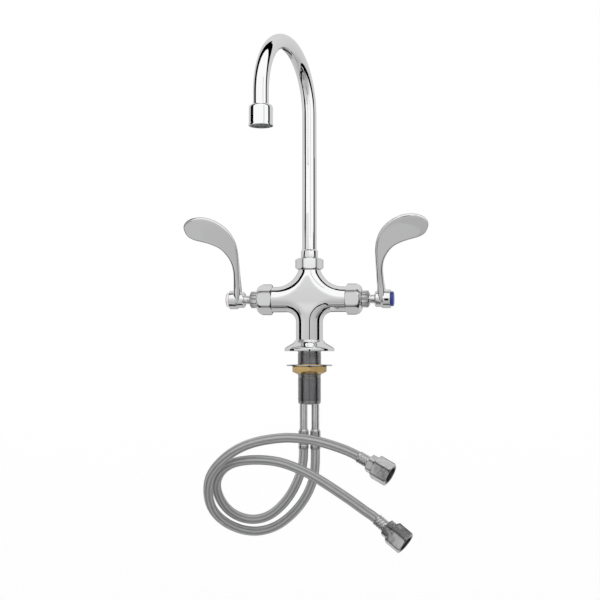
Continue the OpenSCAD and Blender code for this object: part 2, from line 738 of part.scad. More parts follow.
module stem(side) {
    color("silver") on_valve(side)
        difference() {
            union() {
                translate([0, 0, stem_in]) cylinder(r = stem_pin_r, h = 10);
                translate([0, 0, stem_screw_in]) {
                    cylinder(r = stem_screw_r, h = stem_screw_out - stem_screw_in);
                    cylinder(r = stem_r, h = hub_start + 1 - stem_screw_in);
                    cylinder(r = spline_r, h = spline_out - stem_screw_in);
                }
            }
            // Thread for the handle screw, and below for the washer screw
            translate([0, 0, spline_out - screw_hole_l])
                cylinder(r = screw_r + run_fit, h = 2 * screw_hole_l);
            translate([0, 0, stem_in - 1]) cylinder(r = screw_r + run_fit, h = screw_hole_l);
        }
}

// Brass cup that carries the seat washer and doesn't turn with the stem
module washer_holder(side) {
    color("goldenrod") on_valve(side)
        difference() {
            translate([0, 0, seat_washer_z + 0.6])
                cylinder(r = holder_r, h = holder_out - seat_washer_z - 0.6);
            translate([0, 0, seat_washer_z - 1]) cylinder(d = seat_washer_d, h = washer_t_rubber + 1);
            translate([0, 0, holder_floor - 1]) cylinder(r = screw_r + gap, h = 20);
            translate([0, 0, stem_in - gap]) cylinder(r = stem_pin_r + run_fit, h = 20);
        }
}

module seat_washer(side) {
    color("black") on_valve(side)
        ring(seat_washer_d / 2, screw_r + gap, seat_washer_z, holder_floor);
}

module washer_screw(side) {
    head_r = 2.8;
    head_h = 1.4;
    head_out = seat_washer_z - gap;
    color("goldenrod") on_valve(side) {
        translate([0, 0, head_out - head_h]) cylinder(r = head_r, h = head_h);
        translate([0, 0, head_out - eps]) cylinder(r = screw_r, h = stem_in + 5 - head_out);
    }
}

// Handle: a turned hub and a swept blade. Blade stations hold the place of the section's
// middle along the valve axis and above it, its half width and its thickness.
blade_top = 107;
blade_stations = [
    [0, 0, 1.4, 20.4], [0, 5, 3.2, 19.8], [-0.1, 11, 4.3, 17], [-0.5, 19, 4.3, 13],
    [-1, 30, 4.1, 9.6], [-1.1, 41, 4.3, 7.8], [-0.2, 51, 5.3, 6.6], [2, 61, 7.6, 5.8],
    [6, 71, 10.4, 5.2], [12.6, 80, 13.3, 4.8], [22, 87, 15.2, 4.6], [32, 91.2, 15.9, 4.6],
    [41, 92.6, 15.2, 4.6], [48, 92.6, 13.6, 4.4], [53, 92, 10.9, 4], [56.4, 91.4, 7.2, 3.4],
    [58, 91, 2.4, 2.6]];
blade_sides = 20;
blade_steps = 2;

function catmull(a, b, c, d, t) =
    0.5 * (2 * b + (c - a) * t + (2 * a - 5 * b + 4 * c - d) * t * t
           + (3 * b - a - 3 * c + d) * t * t * t);
function station(i) = blade_stations[max(0, min(len(blade_stations) - 1, i))];
function blade_station(u) =
    let (i = floor(u), t = u - i)
    catmull(station(i - 1), station(i), station(i + 1), station(i + 2), t);
// Rounded-rectangle section: a superellipse in the plane across the blade's run
function blade_section(s, run) =
    let (across = [-run[1], run[0]], e = 0.62,
         grow = blade_h / blade_top, thick = s[3] * (s[3] < 5 ? blade_t / 4.6 : 1))
    [for (j = [0:blade_sides - 1])
        let (a = 360 * j / blade_sides,
             w = s[2] * sign(cos(a)) * pow(abs(cos(a)), e),
             d = thick / 2 * sign(sin(a)) * pow(abs(sin(a)), e))
        [s[1] * grow + across[1] * w, d, s[0] + across[0] * w]];

module blade() {
    count = (len(blade_stations) - 1) * blade_steps;
    points = [for (n = [0:count])
        let (u = n / blade_steps, s = blade_station(u),
             before = blade_station(max(0, u - 0.5)),
             after = blade_station(min(len(blade_stations) - 1, u + 0.5)),
             run = unit([after[0] - before[0], after[1] - before[1]]))
        each blade_section(s, run)];
    walls = [for (n = [0:count - 1]) for (j = [0:blade_sides - 1])
        let (k = (j + 1) % blade_sides, a = n * blade_sides, b = a + blade_sides)
        each [[a + j, b + k, a + k], [a + j, b + j, b + k]]];
    root_cap = [for (j = [0:blade_sides - 1]) j];
    tip_cap = [for (j = [blade_sides - 1:-1:0]) count * blade_sides + j];
    polyhedron(points, concat([root_cap], walls, [tip_cap]));
}

// Turns a handle about the valve axis: towards the user is positive
module tilt_handle(side) {
    on_valve(side) rotate([0, 0, side > 0 ? cold_tilt : -hot_tilt]) children();
}

module handle(side) {
    inner_r = hub_d / 2;
    cup_r = hub_cup_d / 2;
    color("silver") tilt_handle(side) translate([0, 0, hub_start])
        difference() {
            union() {
                rotate_extrude() polygon([
                    [0, 0], [inner_r - 1.8, 0], [inner_r - 0.5, 0.6], [inner_r, 2],
                    [inner_r, hub_cup_in - 3], [inner_r + 0.5, hub_cup_in - 1], [cup_r, hub_cup_in],
                    [cup_r, hub_l - 0.8], [cup_r - 0.8, hub_l], [0, hub_l]]);
                translate([0, 0, blade_set]) blade();
            }
            translate([0, 0, -1]) cylinder(r = stem_r + run_fit, h = 2);
            translate([0, 0, -1]) cylinder(r = spline_r + run_fit, h = hub_l - screw_seat - web_t + 1);
            translate([0, 0, 1]) cylinder(r = screw_r + gap, h = hub_l);
            translate([0, 0, hub_l - screw_seat]) cylinder(r = screw_head_r + gap, h = 10);
            translate([0, 0, index_seat - 4]) cylinder(d = index_d - 3, h = 10);
            translate([0, 0, index_seat]) cylinder(d = index_d + 2 * run_fit, h = 10);
        }
}

module handle_screw(side) {
    head_h = 2.4;
    socket_r = 1.5;
    color("silver") tilt_handle(side) translate([0, 0, hub_start + hub_l - screw_seat])
        difference() {
            union() {
                translate([0, 0, -screw_hole_l]) cylinder(r = screw_r, h = screw_hole_l + eps);
                cylinder(r = screw_head_r, h = head_h);
            }
            translate([0, 0, head_h - 1.4]) cylinder(r = socket_r, h = head_h, $fn = HEX);
        }
}

// Index button: a domed cap with a skirt that snaps into the hub's cup
module index_button(side) {
    cap_r = index_d / 2;
    skirt_r = (index_d - 3) / 2 - run_fit;
    color(side > 0 ? "navy" : "firebrick") tilt_handle(side) translate([0, 0, hub_start + index_seat])
        difference() {
            union() {
                rotate_extrude() polygon([
                    [0, 0], [cap_r, 0], [cap_r, index_h - 1.8], [cap_r - 0.4, index_h - 0.8],
                    [cap_r - 1.4, index_h - 0.2], [cap_r - 2.6, index_h], [0, index_h]]);
                translate([0, 0, -3.6]) cylinder(r = skirt_r, h = 4);
            }
            translate([0, 0, -4]) cylinder(r = skirt_r - 1.4, h = 5);
        }
}

// Supply side

// Crimp grooves round a sleeve of radius r, at the given heights
crimp_depth = 0.45;
crimp_w = 2.4;
function crimps(r, heights) = [for (z = heights)
    each [[r, z - crimp_w / 2], [r - crimp_depth, z], [r, z + crimp_w / 2]]];

module supply_tube(side) {
    color("silver") translate([side * supply_x, 0, 0])
        ring(supply_d / 2, supply_d / 2 - supply_wall, supply_bottom, supply_top);
}

module top_sleeve(side) {
    sleeve_r = top_sleeve_d / 2;
    color("silver") translate([side * supply_x, 0, 0])
        difference() {
            rotate_extrude() polygon([
                [0, sleeve_bottom], [sleeve_r - 0.4, sleeve_bottom],
                [sleeve_r, sleeve_bottom + 0.4],
                each crimps(sleeve_r, [sleeve_bottom + 5, sleeve_bottom + 10]),
                [sleeve_r, sleeve_top - 2.4], [sleeve_r - 1.2, sleeve_top - 0.6],
                [sleeve_r - 1.2, sleeve_top], [0, sleeve_top]]);
            translate([0, 0, supply_bottom])
                cylinder(d = supply_d + 2 * run_fit, h = 2 * tube_in_sleeve);
            translate([0, 0, sleeve_bottom - 1])
                cylinder(r = supply_d / 2 - supply_wall, h = top_sleeve_l + 2);
        }
}

// Tube swept along a route; the end rings are square to the given end headings
function route_dir(route, i, first, last) =
    i == 0 ? first : i == len(route) - 1 ? last : unit(route[i + 1] - route[i - 1]);
function route_ring(p, dir, r) =
    let (side = unit(cross([0, 1, 0], dir)), up = cross(dir, side))
    [for (j = [0:hose_sides - 1]) let (a = 360 * (j + 0.5) / hose_sides)
        p + r * (cos(a) * side + sin(a) * up)];
module hose(route, last) {
    n = len(route);
    points = [for (i = [0:n - 1])
        each route_ring(route[i], route_dir(route, i, [0, 0, -1], last), hose_d / 2)];
    walls = [for (i = [0:n - 2]) for (j = [0:hose_sides - 1])
        let (k = (j + 1) % hose_sides, a = i * hose_sides, b = a + hose_sides)
        each [[a + j, b + k, a + k], [a + j, b + j, b + k]]];
    near_cap = [for (j = [0:hose_sides - 1]) j];
    far_cap = [for (j = [hose_sides - 1:-1:0]) (n - 1) * hose_sides + j];
    color("darkgray") polyhedron(points, concat([near_cap], walls, [far_cap]));
}

function heading(az, dip) = [cos(dip) * cos(az), cos(dip) * sin(az), -sin(dip)];

// Hose end, drawn along +Z from the hose's end face
tail_bore_r = 4;
tail_hex_out = end_sleeve_l + tail_hex_l;
coupling_in = tail_hex_out + gap;
coupling_out = coupling_in + coupling_l;
coupling_roof_t = 3;
tail_neck_r = 6;
tail_flange_in = coupling_in + coupling_roof_t + gap;
tail_flange_out = tail_flange_in + 2.4;
cone_in = tail_flange_out + gap;
cone_h = 4.6;
cone_rim_h = 1.4;
thread_in = cone_in + cone_h + gap;
land_r = coupling_bore_d / 2 - 0.2;

module end_sleeve() {
    sleeve_r = end_sleeve_d / 2;
    color("silver")
        difference() {
            rotate_extrude() polygon([
                [0, 0], [sleeve_r - 0.5, 0], [sleeve_r, 0.5],
                each crimps(sleeve_r, [0.25, 0.5, 0.75] * end_sleeve_l),
                [sleeve_r, end_sleeve_l - 0.5], [sleeve_r - 0.5, end_sleeve_l],
                [0, end_sleeve_l]]);
            translate([0, 0, -1]) cylinder(r = tail_bore_r, h = end_sleeve_l + 2);
        }
}

module hose_tail() {
    color("silver")
        difference() {
            union() {
                hex_bar(tail_af, end_sleeve_l, tail_hex_out, 0.8, 0.8);
                translate([0, 0, end_sleeve_l])
                    cylinder(r = tail_neck_r, h = tail_flange_out - end_sleeve_l);
                translate([0, 0, tail_flange_in])
                    cylinder(r = land_r - gap, h = tail_flange_out - tail_flange_in);
            }
            translate([0, 0, end_sleeve_l - 1]) cylinder(r = tail_bore_r, h = 40);
        }
}

// The thread stands in front of a slightly smaller land that holds the cone washer
module coupling_nut() {
    color("gainsboro")
        difference() {
            hex_bar(coupling_af, coupling_in, coupling_out, 1.6, 0.8);
            translate([0, 0, thread_in]) cylinder(d = coupling_bore_d, h = coupling_l);
            translate([0, 0, coupling_in + coupling_roof_t]) cylinder(r = land_r, h = 20);
            translate([0, 0, coupling_in - 1]) cylinder(r = tail_neck_r + gap, h = 20);
        }
}

module cone_washer() {
    wide_r = land_r - run_fit;
    bore_r = tail_bore_r + 1;
    nose_r = tail_bore_r + 2.4;
    color("black")
        rotate_extrude() polygon([
            [bore_r, cone_in], [wide_r, cone_in], [wide_r, cone_in + cone_rim_h],
            [nose_r, cone_in + cone_h], [bore_r, cone_in + cone_h]]);
}

module at_end(side) {
    if (side > 0) at_hose_end(cold_end, cold_heading, cold_dip) children();
    else at_hose_end(hot_end, hot_heading, hot_dip) children();
}

body_casting();
deck_flange();
base_gasket();
shank();
clamp_washer();
lock_nut();
spout_tube();
spout_foot();
spout_o_rings();
split_ring();
glide_washer();
swivel_nut();
aerator_shell();
aerator_washer();
flow_straightener();
aerator_screen();
seat(-1);  // hot_seat
seat(1);  // cold_seat
cartridge(-1);  // hot_cartridge
cartridge(1);  // cold_cartridge
bonnet_gasket(-1);  // hot_bonnet_gasket
bonnet_gasket(1);  // cold_bonnet_gasket
bonnet_nut(-1);  // hot_bonnet_nut
bonnet_nut(1);  // cold_bonnet_nut
packing(-1);  // hot_packing
packing(1);  // cold_packing
packing_nut(-1);  // hot_packing_nut
packing_nut(1);  // cold_packing_nut
stem(-1);  // hot_stem
stem(1);  // cold_stem
washer_holder(-1);  // hot_washer_holder
washer_holder(1);  // cold_washer_holder
seat_washer(-1);  // hot_seat_washer
seat_washer(1);  // cold_seat_washer
washer_screw(-1);  // hot_washer_screw
washer_screw(1);  // cold_washer_screw
handle(-1);  // hot_handle
handle(1);  // cold_handle
handle_screw(-1);  // hot_handle_screw
handle_screw(1);  // cold_handle_screw
index_button(-1);  // hot_index_button
index_button(1);  // cold_index_button
supply_tube(-1);  // hot_supply_tube
supply_tube(1);  // cold_supply_tube
top_sleeve(-1);  // hot_top_sleeve
top_sleeve(1);  // cold_top_sleeve
hose(hot_route, heading(hot_heading, hot_dip));  // hot_hose
hose(cold_route, heading(cold_heading, cold_dip));  // cold_hose
at_end(-1) end_sleeve();  // hot_end_sleeve
at_end(1) end_sleeve();  // cold_end_sleeve
at_end(-1) hose_tail();  // hot_hose_tail
at_end(1) hose_tail();  // cold_hose_tail
at_end(-1) coupling_nut();  // hot_coupling_nut
at_end(1) coupling_nut();  // cold_coupling_nut
at_end(-1) cone_washer();  // hot_cone_washer
at_end(1) cone_washer();  // cold_cone_washer
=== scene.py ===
# Pantry faucet: chrome cross body, wrist blades, swivelling gooseneck and two braided hoses,
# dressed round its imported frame. Shapes are worked out in millimetres and stored in metres.
import math

import bmesh
import bpy
import numpy as np
from mathutils import Matrix, Vector


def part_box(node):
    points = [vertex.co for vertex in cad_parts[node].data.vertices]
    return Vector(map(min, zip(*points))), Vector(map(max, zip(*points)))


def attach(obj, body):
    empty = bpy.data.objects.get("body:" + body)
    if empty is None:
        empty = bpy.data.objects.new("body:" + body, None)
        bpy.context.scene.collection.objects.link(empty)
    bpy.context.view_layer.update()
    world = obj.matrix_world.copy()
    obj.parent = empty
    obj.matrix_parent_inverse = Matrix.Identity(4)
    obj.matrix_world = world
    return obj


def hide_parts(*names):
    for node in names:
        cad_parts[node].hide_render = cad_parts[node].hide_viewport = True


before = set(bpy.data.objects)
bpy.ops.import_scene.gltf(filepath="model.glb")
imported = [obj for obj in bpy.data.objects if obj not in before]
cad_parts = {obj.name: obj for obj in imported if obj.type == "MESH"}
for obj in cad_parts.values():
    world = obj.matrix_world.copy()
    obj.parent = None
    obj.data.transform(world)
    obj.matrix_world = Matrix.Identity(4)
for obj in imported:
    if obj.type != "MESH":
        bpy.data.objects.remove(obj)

bl_info = {
    "name": "Pantry faucet",
    "version": (1, 0, 0),
    "blender": (4, 5, 0),
    "location": "3D View > Sidebar > Faucet",
    "description": "Builds the visible pieces and finishes of a deck-mounted pantry faucet",
    "category": "Add Mesh",
}

MM = 0.001
TURN = 2 * math.pi
MERGE = 1e-4
SIDES = {"hot": -1, "cold": 1}


def box_mm(node):
    """Lowest and highest corner of a CAD node at rest, in millimetres."""
    low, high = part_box(node)
    return low / MM, high / MM


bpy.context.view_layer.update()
BODY_LOW, BODY_HIGH = box_mm("body_casting")
FLANGE_HIGH = box_mm("deck_flange")[1]
# Length of the arms' threaded spigots inside the bonnet nuts, and the gap under the swivel nut
SPIGOT_L = 9.5
SPIGOT_CLEAR = 1
ARM_END = BODY_HIGH.x - SPIGOT_L
BODY_TOP = box_mm("swivel_nut")[0].z - SPIGOT_CLEAR
NECK_R = BODY_HIGH.y
FLANGE_R = FLANGE_HIGH.x
FLANGE_H = FLANGE_HIGH.z
AXIS_H = sum(box_mm("cold_cartridge")[k].z for k in (0, 1)) / 2


# Properties that a user would change


class FaucetSizes(bpy.types.PropertyGroup):
    """Sizes that the frame's boxes don't give"""

    arm_r: bpy.props.FloatProperty(
        name="Arm radius", description="Radius of the two cast arms",
        default=15.4 * MM, unit="LENGTH")
    upper_neck_r: bpy.props.FloatProperty(
        name="Upper neck radius", description="Radius that the shoulder fillets start from",
        default=11.7 * MM, unit="LENGTH")
    shoulder_fillet: bpy.props.FloatProperty(
        name="Shoulder fillet", description="Fillet between arm and upper neck",
        default=30 * MM, unit="LENGTH")
    crotch_fillet: bpy.props.FloatProperty(
        name="Crotch fillet", description="Fillet between arm and lower neck",
        default=12 * MM, unit="LENGTH")
    spout_turn: bpy.props.FloatProperty(
        name="Spout turn", description="Turn of the spout from straight ahead to the hot side",
        default=math.radians(12.2), subtype="ANGLE")
    arch_centre: bpy.props.FloatProperty(
        name="Arch centre", description="Height of the arch's centre above the deck",
        default=286 * MM, unit="LENGTH")
    spout_reach: bpy.props.FloatProperty(
        name="Spout reach", description="Distance from the riser's axis to the outlet's axis",
        default=146 * MM, unit="LENGTH")
    hot_tilt: bpy.props.FloatProperty(
        name="Hot tilt", description="Tilt of the hot blade towards the user",
        default=math.radians(25.5), subtype="ANGLE")
    cold_tilt: bpy.props.FloatProperty(
        name="Cold tilt", description="Tilt of the cold blade towards the user",
        default=math.radians(26.5), subtype="ANGLE")
    nut_turn: bpy.props.FloatProperty(
        name="Nut turn", description="Turn at which the swivel nut and the lock nut stand",
        default=math.radians(9.8), subtype="ANGLE")
    thread_pitch: bpy.props.FloatProperty(
        name="Thread pitch", description="Pitch of the mounting shank's thread",
        default=1.411 * MM, unit="LENGTH")
    hose_r: bpy.props.FloatProperty(
        name="Hose radius", description="Outer radius of the braided hoses",
        default=5.9 * MM, unit="LENGTH")
    braid_pitch: bpy.props.FloatProperty(
        name="Braid pitch", description="Length of hose over which a ribbon goes once round",
        default=28 * MM, unit="LENGTH")
    braid_ribbons: bpy.props.IntProperty(
        name="Ribbons each way", description="Flat wire ribbons that wind in each direction",
        default=12, min=6, max=16)


class FaucetFinish(bpy.types.PropertyGroup):
    """Colours of the metals, rubbers and plastics"""

    chrome: bpy.props.FloatVectorProperty(
        name="Chrome", description="Reflected colour of the chrome plate",
        default=(0.95, 0.952, 0.955), subtype="COLOR")
    brass: bpy.props.FloatVectorProperty(
        name="Brass", description="Reflected colour of bare machined brass",
        default=(0.97, 0.71, 0.33), subtype="COLOR")
    shank: bpy.props.FloatVectorProperty(
        name="Shank", description="Reflected colour of the dull threaded shank",
        default=(0.46, 0.46, 0.47), subtype="COLOR")
    steel: bpy.props.FloatVectorProperty(
        name="Steel", description="Reflected colour of satin stainless steel",
        default=(0.74, 0.74, 0.745), subtype="COLOR")
    tube: bpy.props.FloatVectorProperty(
        name="Supply tube", description="Reflected colour of the plated supply tubes",
        default=(0.92, 0.92, 0.93), subtype="COLOR")
    cold_ring: bpy.props.FloatVectorProperty(
        name="Cold cap", description="Colour of the cold index cap",
        default=(0.022, 0.04, 0.215), subtype="COLOR")
    hot_ring: bpy.props.FloatVectorProperty(
        name="Hot cap", description="Colour of the hot index cap's end",
        default=(0.45, 0.03, 0.035), subtype="COLOR")
    rubber: bpy.props.FloatVectorProperty(
        name="Rubber", description="Colour of washers, gaskets and O-rings",
        default=(0.022, 0.022, 0.024), subtype="COLOR")


class FaucetStudio(bpy.types.PropertyGroup):
    """Camera and light"""

    camera_place: bpy.props.FloatVectorProperty(
        name="Camera", description="Place of the camera in the faucet's frame",
        default=(0.2224, -1.3549, -0.0024), subtype="XYZ", unit="LENGTH")
    camera_turn: bpy.props.FloatProperty(
        name="Turn", description="Turn of the camera and of the cards to the user's right",
        default=math.radians(9.8), subtype="ANGLE")
    camera_pitch: bpy.props.FloatProperty(
        name="Pitch", description="Upward tilt of the camera",
        default=math.radians(2.69), subtype="ANGLE")
    view_angle: bpy.props.FloatProperty(
        name="View angle", description="Angle that the square picture takes in",
        default=math.radians(29.73), subtype="ANGLE")
    daylight: bpy.props.FloatProperty(
        name="Daylight", description="Strength of the even white surroundings",
        default=0.68)
    key: bpy.props.FloatProperty(
        name="Key light", description="Strength of the soft lamp above the user's shoulder",
        default=1.0)
    key_spread: bpy.props.FloatProperty(
        name="Key spread", description="Angle that the lamp fills, which softens its shadows",
        default=math.radians(40), subtype="ANGLE")
    floor_z: bpy.props.FloatProperty(
        name="Floor", description="Height of the floor below the deck",
        default=-0.6, unit="LENGTH")
    floor_half: bpy.props.FloatProperty(
        name="Floor half", description="Half the side of the square floor",
        default=30.0, unit="LENGTH")


# Mesh helpers: each takes millimetres


def new_piece(name, bm, material, body="root", replaces=(), place=None, crease=32):
    """Makes an object in metres of a bmesh in millimetres; it rides on a CAD body."""
    bmesh.ops.remove_doubles(bm, verts=bm.verts, dist=MERGE)
    bmesh.ops.recalc_face_normals(bm, faces=bm.faces)
    scale = Matrix.Scale(MM, 4)
    bmesh.ops.transform(bm, matrix=scale @ place if place else scale, verts=bm.verts)
    for face in bm.faces:
        face.smooth = True
    mesh = bpy.data.meshes.new(name)
    bm.to_mesh(mesh)
    bm.free()
    mesh.set_sharp_from_angle(angle=math.radians(crease))
    for each in material if isinstance(material, (list, tuple)) else [material]:
        mesh.materials.append(each)
    piece = bpy.data.objects.new(name, mesh)
    bpy.context.scene.collection.objects.link(piece)
    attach(piece, body)
    if replaces:
        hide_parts(*replaces)
    return piece


def soften(piece, width, segments=2, angle=24):
    """Rolls the edges over with a bevel that keeps the flats flat."""
    bevel = piece.modifiers.new("rolled edges", "BEVEL")
    bevel.width = width * MM
    bevel.segments = segments
    bevel.limit_method = "ANGLE"
    bevel.angle_limit = math.radians(angle)
    bevel.harden_normals = True
    bevel.use_clamp_overlap = True
    return piece


def arc(centre, radius, start, end, steps):
    """Points of an arc in a profile's plane; angles in degrees."""
    angles = [math.radians(start + (end - start) * k / steps) for k in range(steps + 1)]
    return [(centre[0] + radius * math.cos(a), centre[1] + radius * math.sin(a)) for a in angles]


def rounded(corners, steps=4):
    """Profile through corners (r, z, fillet radius), each corner rounded by an arc."""
    made = []
    last = len(corners) - 1
    for k, corner in enumerate(corners):
        here = Vector(corner[:2])
        fillet = corner[2] if len(corner) > 2 else 0
        if not fillet or k in (0, last):
            made.append(tuple(here))
            continue
        back = (Vector(corners[k - 1][:2]) - here).normalized()
        ahead = (Vector(corners[k + 1][:2]) - here).normalized()
        half = back.angle(ahead) / 2
        reach = fillet / math.tan(half)
        centre = here + (back + ahead).normalized() * fillet / math.sin(half)
        first = here + back * reach - centre
        sweep = first.angle_signed(here + ahead * reach - centre)
        for j in range(steps + 1):
            turned_by = Matrix.Rotation(-sweep * j / steps, 2)
            made.append(tuple(centre + turned_by @ first))
    return made


def eased(t):
    """Smooth step from 0 to 1."""
    t = min(1.0, max(0.0, t))
    return t * t * (3 - 2 * t)


def crimp(outer, z, groove=0.45, half=1.2):
    """Corners of one crimp groove round a sleeve."""
    return [(outer, z - half, 0.4), (outer - groove, z, 0.5), (outer, z + half, 0.4)]


def turned(profile, segments=96, closed=False):
    """Spins a profile of (r, z) points about Z; its UVs run round and along the profile."""
    bm = bmesh.new()
    along = bm.verts.layers.float.new("along")
    run = 0.0
    before = None
    verts = []
    for r, z in profile:
        here = Vector((r, 0, z))
        run += (here - before).length if before else 0
        before = here
        vert = bm.verts.new(here)
        vert[along] = run
        verts.append(vert)
    pairs = list(zip(verts, verts[1:])) + ([(verts[-1], verts[0])] if closed else [])
    edges = [bm.edges.new(pair) for pair in pairs]
    bmesh.ops.spin(bm, geom=verts + edges, cent=(0, 0, 0), axis=(0, 0, 1), dvec=(0, 0, 0),
                   angle=TURN, space=Matrix.Identity(4), steps=segments, use_merge=True)
    bmesh.ops.remove_doubles(bm, verts=bm.verts, dist=MERGE)
    uv = bm.loops.layers.uv.new("UVMap")
    for face in bm.faces:
        middle = face.calc_center_median()
        near = math.atan2(middle.y, middle.x)
        for loop in face.loops:
            co = loop.vert.co
            angle = math.atan2(co.y, co.x) if co.xy.length > MERGE else near
            angle += TURN * round((near - angle) / TURN)
            loop[uv].uv = (angle / TURN, loop.vert[along] * MM)
    return bm


def skinned(rows, bm=None, material=0):
    """Grid of faces through rows of points; UVs run along a row and from row to row."""
    own = bmesh.new() if bm is None else bm
    if not own.loops.layers.uv:
        own.loops.layers.uv.new("UVMap")
    across, down = len(rows[0]) - 1, len(rows) - 1
    made = bmesh.ops.create_grid(own, x_segments=across, y_segments=down, size=1, calc_uvs=True)
    verts = made["verts"]
    if verts[1].co.y != verts[0].co.y or verts[across + 1].co.x != verts[0].co.x:
        raise RuntimeError("the grid's points came in another order")
    for vert, point in zip(verts, (point for row in rows for point in row)):
        vert.co = point
    if material:
        for face in {face for vert in verts for face in vert.link_faces}:
            face.material_index = material
    return own


# Columns of points on each flat of a nut
HEX_STEPS = 8


def hex_columns(across_flats):
    """Angle and hexagon radius of each column round a nut, flats facing +Y and -Y."""
    made = []
    for k in range(6 * HEX_STEPS + 1):
        angle = TURN * k / (6 * HEX_STEPS)
        off = (angle + TURN / 12) % (TURN / 6) - TURN / 12
        made.append((angle, across_flats / 2 / math.cos(TURN / 12 - abs(off))))
    return made


def cone_end(z, way, land_r, slope, steps=3):
    """Turned chamfer of a nut's end: from the hexagon inwards to the flat land."""
    def end(hexagon_r):
        reach = max(0.0, hexagon_r - land_r)
        points = []
        for k in range(steps + 1):
            r = hexagon_r - reach * k / steps
            points.append((r, z - way * slope * (r - land_r)))
        return points
    return end


def dome_end(z, way, nose_r, widest_r, height, steps=10):
    """Elliptical dome of a nut's end: from the hexagon inwards to the nose."""
    def end(hexagon_r):
        start = math.acos(min(1.0, (hexagon_r - nose_r) / (widest_r - nose_r)))
        points = []
        for k in range(steps + 1):
            a = start + (math.pi / 2 - start) * k / steps
            points.append((nose_r + (widest_r - nose_r) * math.cos(a),
                           z - way * height * (1 - math.sin(a))))
        return points
    return end


def milled(across_flats, low, high, inside, turn=0.0, banded=False):
    """Hexagon nut: a low and a high turned end, six flats, and an inside profile.

    Its "edge" attribute is painted shade: 1 on corners, chamfers and inside, and on both ends if
    banded.
    """
    columns = []
    shades = []
    for n, (angle, hexagon_r) in enumerate(hex_columns(across_flats)):
        lower = low(hexagon_r)[::-1]
        outline = lower + high(hexagon_r) + inside
        outline.append(outline[0])
        spoke = (math.cos(angle + turn), math.sin(angle + turn))
        columns.append([(r * spoke[0], r * spoke[1], z) for r, z in outline])
        # Painted shade: corner marks each corner's column, and cut darkens the chamfers and both
        # whole ends of a banded nut
        corner = 1.0 if n % HEX_STEPS == 0 else 0.0
        cut = 0.7 if banded or lower[-1][0] - lower[0][0] > 0.05 else 0.0
        first_in = len(outline) - len(inside) - 1
        row = [max(corner, cut if k < len(lower) - 1 or (banded and k >= len(lower)) else 0.0)
               for k in range(first_in)]
        shades += row + [1.0] * len(inside) + row[:1]
    bm = skinned(columns)
    # Painted shade layer: where it is 1 the chrome's colour darkens, standing in for mirrored
    # dark surroundings and for shade in the bore
    painted_shade = bm.verts.layers.float.new("edge")
    for vert, shade in zip(bm.verts, shades):
        vert[painted_shade] = shade
    return bm


def threaded(radius, depth, pitch, z0, z1, steps=48, taper=1.5):
    """Screw thread on a rod: one helical ridge, faded in and out at its ends."""
    rows = []
    turns = (z1 - z0) / pitch
    # The ridge's outline: shares of the pitch along the rod, and of the depth outwards
    shape = [(0.0, 0.0), (0.3, 1.0), (0.5, 1.0), (0.8, 0.0)]
    for k in range(int(turns * steps) + 1):
        turn = k / steps
        angle = TURN * turn
        fade = min(1.0, turn / taper, (turns - turn) / taper)
        row = []
        for along, out in shape:
            r = radius - depth + depth * out * max(fade, 0)
            z = z0 + (turn + along - 0.4) * pitch
            row.append((r * math.cos(angle), r * math.sin(angle), min(max(z, z0), z1)))
        rows.append(row)
    return rows


# Places


def on_valve(side):
    """From a valve's own frame, +Z outwards and +X up, to the faucet's frame."""
    return Matrix(((0, 0, side, 0), (0, -side, 0, 0), (1, 0, 0, AXIS_H), (0, 0, 0, 1)))


def valve_box(node):
    """Start, end and width of a node along its valve's axis, away from the middle, in mm."""
    low, high = box_mm(node)
    start, end = sorted((abs(low.x), abs(high.x)))
    return start, end, high.y - low.y


def tilted(side, sizes):
    """From a handle's own frame at rest to the faucet's frame."""
    tilt = sizes.cold_tilt if side > 0 else sizes.hot_tilt
    return on_valve(side) @ Matrix.Rotation(side * tilt, 4, "Z")


def spout_frame(sizes):
    """From the spout's own frame, +X ahead, to the faucet's frame."""
    return Matrix.Rotation(-math.pi / 2 - sizes.spout_turn, 4, "Z")


def at_outlet(sizes):
    """The spout's frame, moved to the outlet's axis."""
    return spout_frame(sizes) @ Matrix.Translation((sizes.spout_reach / MM, 0, 0))


# Routes of the two hoses, in metres
COLD_END = ((0.0692, -0.0782, -0.1192), math.radians(-14.2), math.radians(27))
HOT_END = ((0.0904, -0.089, -0.1873), math.radians(-15.2), math.radians(36))
COLD_ROUTE = [
    (0.0072, 0, -0.118), (0.007, 0, -0.136), (0.0033, 0.0046, -0.156), (-0.0074, 0.0078, -0.179),
    (-0.0241, 0.0101, -0.199), (-0.0453, 0.0094, -0.214), (-0.0678, 0.0045, -0.219),
    (-0.0882, -0.0061, -0.214), (-0.1041, -0.02, -0.202), (-0.1126, -0.0357, -0.185),
    (-0.1133, -0.049, -0.166), (-0.1074, -0.0611, -0.1464), (-0.0946, -0.0701, -0.1302),
    (-0.0765, -0.0751, -0.116), (-0.0549, -0.0764, -0.1061), (-0.0336, -0.0758, -0.1013),
    (-0.0135, -0.0744, -0.0994), (0.0045, -0.0733, -0.1004), (0.0228, -0.0732, -0.1034),
    (0.0412, -0.0741, -0.1083), (0.0556, -0.0757, -0.1131), COLD_END[0]]
